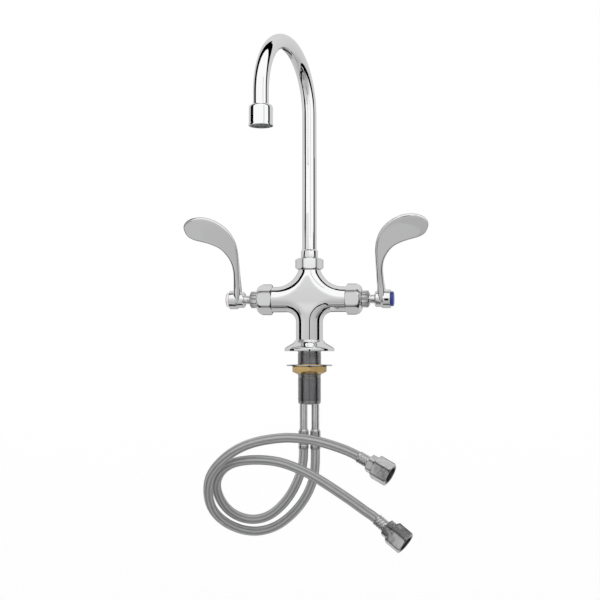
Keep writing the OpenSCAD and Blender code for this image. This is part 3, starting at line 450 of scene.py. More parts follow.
HOT_ROUTE = [
    (-0.0072, 0, -0.118), (-0.008, 0, -0.134), (-0.0132, -0.0002, -0.153),
    (-0.023, 0.001, -0.1724), (-0.0374, 0.0016, -0.1898), (-0.054, 0.0018, -0.201),
    (-0.0712, -0.0011, -0.204), (-0.0868, -0.0068, -0.1996), (-0.0986, -0.0159, -0.1892),
    (-0.1052, -0.0261, -0.175), (-0.1062, -0.0374, -0.1598), (-0.0999, -0.0486, -0.1452),
    (-0.0889, -0.0569, -0.1349), (-0.0745, -0.0626, -0.1288), (-0.0576, -0.0658, -0.1262),
    (-0.04, -0.0678, -0.126), (-0.0236, -0.069, -0.128), (-0.0042, -0.0697, -0.134),
    (0.0144, -0.0716, -0.142), (0.0305, -0.0735, -0.1509), (0.0478, -0.0767, -0.1611),
    (0.0647, -0.081, -0.1713), (0.0781, -0.0855, -0.1796), HOT_END[0]]
ROUTES = {"hot": (HOT_ROUTE, HOT_END), "cold": (COLD_ROUTE, COLD_END)}


def hose_end_frame(name):
    """From a hose end's own frame, +Z away from the hose, to the faucet's frame."""
    place, heading, dip = ROUTES[name][1]
    turn = Matrix.Rotation(heading, 4, "Z") @ Matrix.Rotation(math.pi / 2 + dip, 4, "Y")
    return Matrix.Translation(Vector(place) / MM) @ turn


def hose_line(name, step, samples=4000):
    """Clamped cubic spline through a route: points, tangents and two normals, every step mm."""
    route, (_, heading, dip) = ROUTES[name]
    points = np.array(route) / MM
    first = np.array((0.0, 0.0, -1.0))
    last = np.array((math.cos(dip) * math.cos(heading), math.cos(dip) * math.sin(heading),
                     -math.sin(dip)))
    knots = np.r_[0, np.cumsum(np.linalg.norm(np.diff(points, axis=0), axis=1))]
    h = np.diff(knots)
    count = len(points)
    left = np.eye(count)
    right = np.zeros((count, 3))
    right[0], right[-1] = first, last
    for k in range(1, count - 1):
        left[k, k - 1:k + 2] = h[k], 2 * (h[k - 1] + h[k]), h[k - 1]
        right[k] = 3 * (h[k] * (points[k] - points[k - 1]) / h[k - 1]
                        + h[k - 1] * (points[k + 1] - points[k]) / h[k])
    slopes = np.linalg.solve(left, right)

    def at(s):
        k = np.clip(np.searchsorted(knots, s, side="right") - 1, 0, count - 2)
        t = ((s - knots[k]) / h[k])[:, None]
        hk = h[k][:, None]
        return ((2 * t**3 - 3 * t**2 + 1) * points[k] + (t**3 - 2 * t**2 + t) * hk * slopes[k]
                + (3 * t**2 - 2 * t**3) * points[k + 1] + (t**3 - t**2) * hk * slopes[k + 1])

    fine = at(np.linspace(0, knots[-1], samples))
    run = np.r_[0, np.cumsum(np.linalg.norm(np.diff(fine, axis=0), axis=1))]
    rings = round(run[-1] / step)
    want = np.linspace(0, run[-1], rings + 1)
    centres = np.stack([np.interp(want, run, fine[:, k]) for k in range(3)], axis=1)
    tangents = np.gradient(centres, axis=0)
    tangents[0], tangents[-1] = first, last
    tangents /= np.linalg.norm(tangents, axis=1)[:, None]
    sides = np.zeros_like(centres)
    side = np.array((1.0, 0.0, 0.0))
    for k, tangent in enumerate(tangents):
        side = side - tangent * side.dot(tangent)
        side /= np.linalg.norm(side)
        sides[k] = side
    return centres, tangents, sides, np.cross(tangents, sides), want


# Finishes


def add(tree, kind, values=None, **attributes):
    """Adds a node with its socket values and attributes."""
    made = tree.nodes.new(kind)
    for key, value in attributes.items():
        setattr(made, key, value)
    for key, value in (values or {}).items():
        made.inputs[key].default_value = value
    return made


def link(tree, start, out, end, into):
    """Joins a socket of one node to a socket of another."""
    tree.links.new(start.outputs[out], end.inputs[into])


def group_of(name, inputs, outputs):
    """New shader node group with float or vector sockets, and its two end nodes."""
    tree = bpy.data.node_groups.new(name, "ShaderNodeTree")
    for label, kind, default in inputs:
        socket = tree.interface.new_socket(label, in_out="INPUT", socket_type=kind)
        if default is not None:
            socket.default_value = default
    for label, kind in outputs:
        tree.interface.new_socket(label, in_out="OUTPUT", socket_type=kind)
    return tree, tree.nodes.new("NodeGroupInput"), tree.nodes.new("NodeGroupOutput")


FLOAT = "NodeSocketFloat"
VECTOR = "NodeSocketVector"


def polish_group():
    """Hand-polished plate: slow waves for the height, and faint smudges for the roughness."""
    if "polished plate" in bpy.data.node_groups:
        return bpy.data.node_groups["polished plate"]
    tree, start, end = group_of(
        "polished plate",
        [("Vector", VECTOR, None), ("Wave size", FLOAT, 45.0), ("Roughness", FLOAT, 0.03),
         ("Smudge", FLOAT, 0.05)],
        [("Roughness", FLOAT), ("Height", FLOAT)])
    wave = add(tree, "ShaderNodeTexNoise", {"Detail": 1.0, "Roughness": 0.4})
    link(tree, start, "Vector", wave, "Vector")
    link(tree, start, "Wave size", wave, "Scale")
    link(tree, wave, "Fac", end, "Height")
    smudge = add(tree, "ShaderNodeTexNoise", {"Scale": 70.0, "Detail": 5.0, "Roughness": 0.6})
    link(tree, start, "Vector", smudge, "Vector")
    pick = add(tree, "ShaderNodeMapRange", {"From Min": 0.5, "From Max": 0.75})
    link(tree, smudge, "Fac", pick, "Value")
    blend = add(tree, "ShaderNodeMath", operation="MULTIPLY_ADD")
    link(tree, pick, "Result", blend, 0)
    link(tree, start, "Smudge", blend, 1)
    link(tree, start, "Roughness", blend, 2)
    link(tree, blend, "Value", end, "Roughness")
    return tree


def lathe_group():
    """Fine rings that a tool leaves round a turned or drawn piece, from its UV map."""
    if "tool rings" in bpy.data.node_groups:
        return bpy.data.node_groups["tool rings"]
    tree, start, end = group_of(
        "tool rings", [("UV", VECTOR, None), ("Rings per metre", FLOAT, 3000.0)],
        [("Height", FLOAT)])
    scale = add(tree, "ShaderNodeCombineXYZ", {"X": 6.0, "Z": 0.0})
    link(tree, start, "Rings per metre", scale, "Y")
    stretch = add(tree, "ShaderNodeVectorMath", operation="MULTIPLY")
    link(tree, start, "UV", stretch, 0)
    link(tree, scale, "Vector", stretch, 1)
    rings = add(tree, "ShaderNodeTexNoise", {"Scale": 1.0, "Detail": 2.0})
    link(tree, stretch, "Vector", rings, "Vector")
    link(tree, rings, "Fac", end, "Height")
    return tree


def mottle_group():
    """Soft blotches, for tarnish and colour drift."""
    if "mottle" in bpy.data.node_groups:
        return bpy.data.node_groups["mottle"]
    tree, start, end = group_of(
        "mottle", [("Vector", VECTOR, None), ("Size", FLOAT, 120.0)], [("Mask", FLOAT)])
    blotch = add(tree, "ShaderNodeTexNoise", {"Detail": 6.0, "Roughness": 0.62})
    link(tree, start, "Vector", blotch, "Vector")
    link(tree, start, "Size", blotch, "Scale")
    pick = add(tree, "ShaderNodeMapRange", {"From Min": 0.35, "From Max": 0.65})
    link(tree, blotch, "Fac", pick, "Value")
    link(tree, pick, "Result", end, "Mask")
    return tree


def wires_group():
    """Round wires side by side across a flat ribbon: height and shade from its UV map."""
    if "ribbon wires" in bpy.data.node_groups:
        return bpy.data.node_groups["ribbon wires"]
    tree, start, end = group_of(
        "ribbon wires", [("UV", VECTOR, None), ("Wires", FLOAT, 7.0)],
        [("Height", FLOAT), ("Shade", FLOAT)])
    parts = add(tree, "ShaderNodeSeparateXYZ")
    link(tree, start, "UV", parts, "Vector")
    many = add(tree, "ShaderNodeMath", operation="MULTIPLY")
    link(tree, parts, "X", many, 0)
    link(tree, start, "Wires", many, 1)
    saw = add(tree, "ShaderNodeMath", operation="FRACT")
    link(tree, many, "Value", saw, 0)
    centred = add(tree, "ShaderNodeMath", operation="SUBTRACT")
    centred.inputs[1].default_value = 0.5
    link(tree, saw, "Value", centred, 0)
    square = add(tree, "ShaderNodeMath", operation="MULTIPLY")
    link(tree, centred, "Value", square, 0)
    link(tree, centred, "Value", square, 1)
    flip = add(tree, "ShaderNodeMapRange", {"From Max": 0.25, "To Min": 1.0, "To Max": 0.0})
    link(tree, square, "Value", flip, "Value")
    link(tree, flip, "Result", end, "Height")
    # Painted shade: the colour darkens in the hollows between the wires
    groove = add(tree, "ShaderNodeMapRange",
                 {"From Min": 0.0, "From Max": 0.35, "To Min": 0.45, "To Max": 1.0})
    link(tree, flip, "Result", groove, "Value")
    link(tree, groove, "Result", end, "Shade")
    return tree


def blank(name, colour, metallic, roughness):
    """New material: its tree and its Principled shader."""
    material = bpy.data.materials.new(name)
    material.use_nodes = True
    tree = material.node_tree
    shader = tree.nodes["Principled BSDF"]
    shader.inputs["Base Color"].default_value = (*colour, 1)
    shader.inputs["Metallic"].default_value = metallic
    shader.inputs["Roughness"].default_value = roughness
    return material, tree, shader


def bump(tree, shader, source, output, distance):
    """Feeds a node's height through a bump into the shader's normal."""
    made = add(tree, "ShaderNodeBump", {"Strength": 1.0, "Distance": distance})
    link(tree, source, output, made, "Height")
    link(tree, made, "Normal", shader, "Normal")


def tinted(tree, shader, low, high, source, output):
    """Blends the base colour from low to high by a node's mask."""
    tint = add(tree, "ShaderNodeMix", data_type="RGBA")
    tint.inputs["A"].default_value = (*low, 1)
    tint.inputs["B"].default_value = (*high, 1)
    link(tree, source, output, tint, "Factor")
    link(tree, tint, "Result", shader, "Base Color")


def plated(name, colour, roughness=0.03, smudge=0.05, wave=45.0, depth=0.000012):
    """Polished chrome plate."""
    material, tree, shader = blank(name, colour, 1.0, roughness)
    place = add(tree, "ShaderNodeTexCoord")
    polish = add(tree, "ShaderNodeGroup",
                 {"Wave size": wave, "Roughness": roughness, "Smudge": smudge},
                 node_tree=polish_group())
    link(tree, place, "Object", polish, "Vector")
    link(tree, polish, "Roughness", shader, "Roughness")
    bump(tree, shader, polish, "Height", depth)
    return material


def with_painted_edge_shade(material, dark=0.16):
    """Paints shade into a plated nut's colour along its corners, chamfers and bore, as its
    rounded edges mirror.
    """
    tree = material.node_tree
    shader = tree.nodes["Principled BSDF"]
    edge = add(tree, "ShaderNodeAttribute", attribute_name="edge")
    tinted(tree, shader, shader.inputs["Base Color"].default_value[:3], (dark,) * 3, edge, "Fac")
    return material


def machined(name, colour, dark, roughness, rings=3000.0, depth=0.00001, blotch=150.0,
             metallic=1.0):
    """Turned or drawn bare metal: tool rings, and a tint that drifts between two colours."""
    material, tree, shader = blank(name, colour, metallic, roughness)
    place = add(tree, "ShaderNodeTexCoord")
    mottle = add(tree, "ShaderNodeGroup", {"Size": blotch}, node_tree=mottle_group())
    link(tree, place, "Object", mottle, "Vector")
    tinted(tree, shader, colour, dark, mottle, "Mask")
    lathe = add(tree, "ShaderNodeGroup", {"Rings per metre": rings}, node_tree=lathe_group())
    link(tree, place, "UV", lathe, "UV")
    rough = add(tree, "ShaderNodeMapRange",
                {"To Min": roughness * 0.8, "To Max": roughness * 1.25})
    link(tree, lathe, "Height", rough, "Value")
    link(tree, rough, "Result", shader, "Roughness")
    bump(tree, shader, lathe, "Height", depth)
    return material


def moulded(name, colour, roughness, grain=900.0, bloom=300.0, depth=0.00002):
    """Rubber or plastic: fine grain and a slight bloom."""
    material, tree, shader = blank(name, colour, 0.0, roughness)
    place = add(tree, "ShaderNodeTexCoord")
    fine = add(tree, "ShaderNodeTexNoise", {"Scale": grain, "Detail": 3.0})
    link(tree, place, "Object", fine, "Vector")
    mottle = add(tree, "ShaderNodeGroup", {"Size": bloom}, node_tree=mottle_group())
    link(tree, place, "Object", mottle, "Vector")
    pale = [min(1, c * 1.35 + 0.004) for c in colour]
    tinted(tree, shader, colour, pale, mottle, "Mask")
    bump(tree, shader, fine, "Fac", depth)
    return material


def wire_ribbon(name, colour, hollow=0.3, between=0.12, wire_depth=0.0001):
    """Flat ribbon of fine stainless wires, its colour darkened by painted shade in its hollows
    and between the paler rows of its painted sheen.
    """
    material, tree, shader = blank(name, colour, 0.68, 0.3)
    place = add(tree, "ShaderNodeTexCoord")
    wires = add(tree, "ShaderNodeGroup", node_tree=wires_group())
    link(tree, place, "UV", wires, "UV")
    # Painted sheen: paler and darker rows along the hose, read from a vertex attribute
    row = add(tree, "ShaderNodeAttribute", attribute_name="streak")
    pale = add(tree, "ShaderNodeMapRange", {"To Min": between, "To Max": 1.0})
    link(tree, row, "Fac", pale, "Value")
    both = add(tree, "ShaderNodeMath", operation="MULTIPLY")
    link(tree, wires, "Shade", both, 0)
    link(tree, pale, "Result", both, 1)
    tinted(tree, shader, [c * hollow for c in colour], colour, both, "Value")
    bump(tree, shader, wires, "Height", wire_depth)
    return material


FINISHES = {}


def finish(name):
    """The material of that name, made when it is first asked for."""
    if name in FINISHES:
        return FINISHES[name]
    tones = bpy.context.scene.faucet_finish
    makers = {
        "body chrome": lambda: plated(name, tones.chrome),
        # Nut and fitting chrome carry painted shade on their corners, chamfers and bores
        "nut chrome": lambda: with_painted_edge_shade(plated(name, tones.chrome, wave=110.0, depth=0.00003)),
        "spout chrome": lambda: plated(name, tones.chrome, wave=30.0, depth=0.00001),
        "blade chrome": lambda: plated(name, tones.chrome, roughness=0.04),
        "fitting chrome": lambda: with_painted_edge_shade(plated(
            name, tones.chrome, roughness=0.22, smudge=0.2, wave=160.0, depth=0.0002)),
        "brass": lambda: machined(name, tones.brass, (0.88, 0.58, 0.22), 0.24),
        "shank metal": lambda: machined(name, tones.shank, (0.4, 0.4, 0.41), 0.22),
        "washer steel": lambda: machined(name, tones.steel, (0.62, 0.62, 0.63), 0.22),
        "stem metal": lambda: machined(name, tones.tube, (0.84, 0.84, 0.85), 0.1),
        "tube metal": lambda: machined(name, tones.tube, (0.86, 0.86, 0.87), 0.2, rings=1500.0),
        "sleeve steel": lambda: machined(name, tones.steel, (0.66, 0.66, 0.66), 0.2),
        "braze": lambda: machined(name, (0.85, 0.53, 0.4), (0.7, 0.42, 0.32), 0.3),
        "braid wire": lambda: wire_ribbon(name, tones.tube),
        "hose core": lambda: moulded(name, (0.03, 0.03, 0.032), 0.6),
        "rubber": lambda: moulded(name, tones.rubber, 0.55),
        "nylon": lambda: moulded(name, (0.8, 0.79, 0.76), 0.45),
        "grey plastic": lambda: moulded(name, (0.07, 0.072, 0.075), 0.4),
        "cold enamel": lambda: moulded(name, tones.cold_ring, 0.2),
        "hot enamel": lambda: moulded(name, tones.hot_ring, 0.2),
        # Painted highlight: the red hot cap's side is pale pink as if glaring; painted shade: a
        # dark band along the seam below its end
        "hot side painted glare": lambda: moulded(name, (0.86, 0.79, 0.785), 0.2),
        "hot seam painted shade": lambda: moulded(name, (0.075, 0.025, 0.035), 0.3),
    }
    FINISHES[name] = makers[name]()
    return FINISHES[name]


# Operators


class FAUCET_OT_camera(bpy.types.Operator):
    """Set the camera at the photograph's view"""

    bl_idname = "faucet.camera"
    bl_label = "Camera"

    def execute(self, context):
        studio = context.scene.faucet_studio
        data = bpy.data.cameras.new("camera")
        data.sensor_fit = "HORIZONTAL"
        data.angle = studio.view_angle
        data.clip_end = 20
        camera = bpy.data.objects.new("camera", data)
        camera.location = studio.camera_place
        camera.rotation_euler = (math.pi / 2 + studio.camera_pitch, 0, studio.camera_turn)
        context.scene.collection.objects.link(camera)
        context.scene.camera = camera
        return {"FINISHED"}


# Rings of points per crossing of the braid, and sides of the inner tube
RIBBON_STEPS = 4
CORE_SIDES = 24


class FAUCET_OT_hoses(bpy.types.Operator):
    """Weave the two hoses: a dark inner tube in a braid of flat wire ribbons"""

    bl_idname = "faucet.hoses"
    bl_label = "Braided hoses"

    inset = 0.2             # the braid stays this far inside the hose's radius
    swing = 0.2             # a ribbon goes this far over and under the others
    crown, sink = 0.05, 0.1     # its middle stands out and its edges lie lower
    cover = 0.88            # share of the room round the hose that one way's ribbons fill
    core_gap = 0.35         # from the ribbons' middle down to the inner tube
    core_every = 6          # the smooth inner tube needs only every sixth ring
    sheen_rows = 8           # rows of crossings with a painted sheen round the hose

    def execute(self, context):
        sizes = context.scene.faucet_sizes
        for name in SIDES:
            self.weave(name, sizes)
        return {"FINISHED"}

    def weave(self, name, sizes):
        """Winds ribbons both ways along a hose's route, over a smooth inner tube."""
        ribbons = sizes.braid_ribbons
        pitch = sizes.braid_pitch / MM
        outer = sizes.hose_r / MM - self.inset
        middle = outer - self.swing - self.crown
        width = self.cover * TURN * middle / ribbons
        centres, _, sides, ups, run = hose_line(name, pitch / ribbons / RIBBON_STEPS)
        bm = bmesh.new()

        def around(radius, angles):
            return (centres + radius[:, None] * (np.cos(angles)[:, None] * sides
                                                 + np.sin(angles)[:, None] * ups))

        wave = np.cos(TURN * ribbons * run / pitch)
        streaks = []
        for way in (1, -1):
            for k in range(ribbons):
                angle = way * TURN * run / pitch + TURN * k / ribbons
                radius = middle + way * self.swing * wave
                angles = [angle + off * width / middle / 2 for off in (-1, 0, 1)]
                strip = [around(radius + lift, each)
                         for each, lift in zip(angles, (-self.sink, self.crown, -self.sink))]
                skinned(np.stack(strip, axis=1).tolist(), bm)
                # Painted sheen: rows of crossings round the hose turn paler or darker, standing
                # in for the wires' changing reflection
                rows = np.cos(self.sheen_rows * np.stack(angles, axis=1))
                streaks += (0.5 + 0.5 * rows).ravel().tolist()
        core_r = np.full(len(run), middle - self.core_gap)
        core = [around(core_r, np.full(len(run), TURN * k / CORE_SIDES))
                for k in range(CORE_SIDES + 1)]
        skinned(np.stack(core, axis=1)[::self.core_every].tolist(), bm, material=1)
        streak = bm.verts.layers.float.new("streak")
        for vert, value in zip(bm.verts, streaks):
            vert[streak] = value
        finishes = [finish("braid wire"), finish("hose core")]
        piece = new_piece(f"{name}_braided_hose", bm, finishes,
                          replaces=[f"{name}_hose"], crease=60)
        keep = centres[::RIBBON_STEPS * 2] * MM
        path = [tuple(p) for p in keep] + [tuple(centres[-1] * MM)]
        return piece, path, run[-1] * MM


class FAUCET_OT_hose_ends(bpy.types.Operator):
    bl_idname = "faucet.hose_ends"
    bl_label = "Hose ends"

    def execute(self, context):
        for name in SIDES:
            place = hose_end_frame(name)
            body = f"{name}_coupling"
            sleeve = new_piece(f"{name}_crimped_sleeve", self.sleeve(), finish("sleeve steel"),
                               replaces=[f"{name}_end_sleeve"], place=place)
            tail = new_piece(f"{name}_tail", self.tail(), finish("fitting chrome"),
                             replaces=[f"{name}_hose_tail"], place=place)
            soften(tail, 0.5, 4)
            nut = new_piece(f"{name}_swivel_coupling", self.nut(), finish("fitting chrome"),
                            body=body, replaces=[f"{name}_coupling_nut"],
                            place=place)
            soften(nut, 0.7, 4)
        return {"FINISHED"}

    def sleeve(self):
        """Crimped sleeve: a thin drawn tube with three crimp grooves."""
        bore, outer, length = 4.05, 6.7, 14.0
        profile = [(bore, 0), (outer - 0.5, 0, 0.4), (outer, 0.8, 0.4)]
        for z in (3.5, 7.0, 10.5):
            profile += crimp(outer, z)
        profile += [(outer, length - 0.6, 0.4), (outer - 0.6, length, 0.3), (bore, length)]
        return turned(rounded(profile), closed=True)

    def tail(self):
        """Hexagon of the tail with its neck and flange."""
        flats, land, low, high = 18.5, 8.9, 14.0, 21.5
        bore, neck, flange, flange_z, end = 4.0, 6.0, 9.0, 25.1, 27.5
        return milled(flats, cone_end(low, -1, land, 0.58), cone_end(high, 1, land, 0.58),
                      [(neck, high), (neck, flange_z), (flange, flange_z), (flange, end),
                       (bore, end), (bore, low)])

    def nut(self):
        """Coupling nut: hexagon, roof over the tail's flange, and a threaded mouth."""
        flats, low, high, mouth = 24.6, 21.8, 42.4, 0.6
        thread, pitch, depth, thread_end = 9.5, 1.814, 0.55, 33.0
        chamber, roof, chamber_end, hole = 9.3, 24.8, 32.7, 6.3
        inside = [(thread + 0.4, high), (thread, high - mouth)]
        z = high - mouth
        while z - pitch > thread_end:
            inside += [(thread - depth, z - 0.35 * pitch), (thread - depth, z - 0.5 * pitch),
                       (thread, z - 0.85 * pitch), (thread, z - pitch)]
            z -= pitch
        inside += [(thread, chamber_end), (chamber, chamber_end), (chamber, roof), (hole, roof),
                   (hole, low)]
        return milled(flats, cone_end(low, -1, 11.4, 0.7), cone_end(high, 1, 12.1, 0.55), inside)


class FAUCET_OT_body(bpy.types.Operator):
    """Refine the cast cross body so that its skin is truly smooth"""

    bl_idname = "faucet.body"
    bl_label = "Body casting"

    near = 0.02             # a corner of the skin lies no further from the casting's formula
    near_cut = 0.8          # and no further than this once the skin's faces are cut up
    near_middle = 1.2       # the middle of a long face may hang this far off the round skin
    facing = 0.7            # least cosine between a face of the skin and the formula's normal
    least_faces = 500       # a frame without that many faces of skin isn't this casting
    cuts = 3
    end_near, top_near = 0.01, 0.02     # points this near an end plane stay in it
    settling = 4            # steps that bring a point onto the finished skin
    flat_slope = 0.01       # a point with less slope than this stays where it is

    def execute(self, context):
        self.sizes = context.scene.faucet_sizes
        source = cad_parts["body_casting"]
        bm = bmesh.new()
        bm.from_mesh(source.data)
        bmesh.ops.scale(bm, vec=(1 / MM,) * 3, verts=bm.verts)
        bmesh.ops.remove_doubles(bm, verts=bm.verts, dist=0.001)
        skin = [face for face in bm.faces if self.on_skin(face, self.near)]
        if len(skin) < self.least_faces:
            raise RuntimeError("the body's skin was not found in the frame")
        edges = list({edge for face in skin for edge in face.edges})
        bmesh.ops.subdivide_edges(bm, edges=edges, cuts=self.cuts, use_grid_fill=True)
        moved = [vert for vert in bm.verts
                 if any(self.on_skin(face, self.near_cut) for face in vert.link_faces)]
        for vert in moved:
            vert.co = self.on_surface(vert.co)
        new_piece("cast_body", bm, finish("body chrome"), replaces=["body_casting"],
                  crease=40)
        return {"FINISHED"}

    def cad_field(self, p, least_fillet=0.12):
        """Value that is zero on the skin of the construction's casting.

        Its fillets shrink towards the front and back, down to their least share.
        """
        arm, lower = self.sizes.arm_r / MM, NECK_R
        upper = self.sizes.upper_neck_r / MM
        z = p.z - AXIS_H
        t = eased(z / arm + 0.5)
        depth = max(least_fillet, 1 - (abs(p.y) / arm) ** 2)
        crotch, shoulder = self.sizes.crotch_fillet / MM, self.sizes.shoulder_fillet / MM
        fillet = (crotch + (shoulder - crotch) * t) * depth
        a = math.hypot(p.y, z) - arm
        n = math.hypot(p.x, p.y) - (lower + (upper - lower) * t)
        return max(fillet, min(a, n)) - math.hypot(max(fillet - a, 0), max(fillet - n, 0))

    def field(self, p, neck_blend=1.5, neck_start=0.2):
        """Value that is zero on the finished skin: the cross's outline, rolled over evenly.

        The front is flat where arms and necks meet, and each rim is a quarter of a circle as
        deep as the arm, so that reflections run parallel to the outline.
        """
        arm = self.sizes.arm_r / MM
        x, z = abs(p.x), p.z - AXIS_H
        if z > 0:
            neck, k = self.sizes.upper_neck_r / MM, self.sizes.shoulder_fillet / MM
        else:
            neck, k = NECK_R, self.sizes.crotch_fillet / MM
        a, n = abs(z) - arm, x - neck
        edge = max(k, min(a, n)) - math.hypot(max(k - a, 0), max(k - n, 0))
        if z > 0:
            rise = max(0.0, min(arm + k - z, k))
            half = neck + k - math.sqrt(k * k - rise * rise)
            narrow = (arm + half - math.hypot(arm - half, neck_blend)) / 2
            deep = narrow if z > arm else arm
        else:
            down, inwards = eased(-z / arm - neck_start), 1 - eased((x - neck) / k)
            deep = arm + (NECK_R - arm) * down * inwards
        return math.hypot(max(0.0, edge + deep), p.y) - deep

    def slope(self, p, field, step=0.02):
        """Gradient of a field at a point."""
        rise = [field(p + step * axis) - field(p - step * axis)
                for axis in (Vector((1, 0, 0)), Vector((0, 1, 0)), Vector((0, 0, 1)))]
        return Vector(rise) / (2 * step)

    def on_skin(self, face, near):
        """Whether a face is part of the casting's outer skin."""
        if any(abs(self.cad_field(vert.co)) > near for vert in face.verts):
            return False
        middle = face.calc_center_median()
        if abs(self.cad_field(middle)) > self.near_middle:
            return False
        return self.slope(middle, self.cad_field).normalized().dot(face.normal) > self.facing

    def on_surface(self, p):
        """Nearest point on the skin, kept in its own end plane."""
        held_x = abs(abs(p.x) - ARM_END) < self.end_near
        held_z = abs(p.z - BODY_LOW.z) < self.end_near or abs(p.z - BODY_TOP) < self.top_near
        for _ in range(self.settling):
            slope = self.slope(p, self.field)
            if held_x:
                slope.x = 0
            if held_z:
                slope.z = 0
            if slope.length_squared < self.flat_slope:
                break
            p = p - slope * self.field(p) / slope.length_squared
        return p


class FAUCET_OT_flange(bpy.types.Operator):
    """Turn the bell-shaped deck flange"""

    bl_idname = "faucet.flange"
    bl_label = "Deck flange"

    def execute(self, context):
        rim_h, throat_r, edge = 2.2, NECK_R + 1.6, 0.6
        bore_r, gasket_r, gasket_t = 14.35, 23.55, 2.0
        steps = 40
        bell = [(FLANGE_R + (throat_r - FLANGE_R) * eased(k / steps),
                 rim_h + (FLANGE_H - edge - rim_h) * k / steps) for k in range(steps + 1)]
        profile = ([(gasket_r, gasket_t), (gasket_r, 0), (FLANGE_R - edge, 0)]
                   + arc((FLANGE_R - edge, edge), edge, -90, 0, 5) + bell
                   + arc((throat_r - edge, FLANGE_H - edge), edge, 0, 90, 4)
                   + [(bore_r, FLANGE_H), (bore_r, gasket_t)])
        new_piece("bell_flange", turned(profile, 128, closed=True), finish("body chrome"),
                  replaces=["deck_flange"])
        return {"FINISHED"}


class FAUCET_OT_shank(bpy.types.Operator):
    """Cut the mounting shank with its long thread"""

    bl_idname = "faucet.shank"
    bl_label = "Mounting shank"

    def execute(self, context):
        sizes = context.scene.faucet_sizes
        low, high = box_mm("shank")
        wide_r, low_r, bore_r, root = high.x, high.x - 0.3, 12.3, 0.55
        lead_r, lead_h = 13.4, 0.9
        step, thread_top = -30.0, -1.6
        plain_r = wide_r - 0.2
        profile = rounded([
            (bore_r, low.z + 0.5), (bore_r + 0.5, low.z), (lead_r - 0.2, low.z, 0.2),
            (lead_r, low.z + lead_h), (low_r - root, step - 0.3), (wide_r - root, step),
            (wide_r - root, thread_top + 0.1), (plain_r, thread_top + 0.6),
            (plain_r, high.z - 0.6), (wide_r - 0.8, high.z), (bore_r, high.z)])
        bm = turned(profile, closed=True)
        pitch = sizes.thread_pitch / MM
        skinned(threaded(low_r, root, pitch, low.z + lead_h + 0.3, step), bm)
        skinned(threaded(wide_r, root, pitch, step, thread_top), bm)
        new_piece("threaded_shank", bm, finish("shank metal"), replaces=["shank"],
                  crease=50)
        # Braze that fills the shank's mouth round the tubes, with a shallow meniscus
        pool_r, back = bore_r - 0.3, low.z + 2
        braze = turned([(0, back), (pool_r, back), (pool_r, low.z + 0.4), (8, low.z - 0.3),
                        (4, low.z - 1.1), (0, low.z - 1.3)])
        new_piece("braze_fillet", braze, finish("braze"))
        return {"FINISHED"}


class FAUCET_OT_clamp(bpy.types.Operator):
    """Make the clamp washer and the brass lock nut"""

    bl_idname = "faucet.clamp"
    bl_label = "Washer and lock nut"

    def execute(self, context):
        low, high = box_mm("clamp_washer")
        bore, edge = 15.25, 0.25
        profile = rounded([(bore, low.z + 0.7), (bore, low.z, edge), (high.x, low.z, edge),
                           (high.x, high.z, edge), (bore, high.z, edge), (bore, low.z + 0.7)])
        new_piece("steel_washer", turned(profile[:-1], 128, closed=True), finish("washer steel"),
                  body="clamp", replaces=["clamp_washer"])
        low, high = box_mm("lock_nut")
        flats, top, bore, collar = 41.2, -18.3, 14.35, 14.95
        inside = [(collar, top), (collar, high.z - 0.2), (collar - 0.2, high.z), (bore, high.z),
                  (bore, low.z + 0.6), (bore + 0.6, low.z)]
        nut = milled(flats, cone_end(low.z, -1, 15.35, 0.5), cone_end(top, 1, 20.4, 0.3),
                     inside, turn=TURN / 12 + context.scene.faucet_sizes.nut_turn)
        soften(new_piece("brass_lock_nut", nut, finish("brass"), body="nut",
                         replaces=["lock_nut"]), 0.3)
        return {"FINISHED"}


# Where the tube starts in its foot, and how far its tip hangs below the arch's centre
SPOUT_FOOT_Z = 117.2
SPOUT_DROP = 23.0


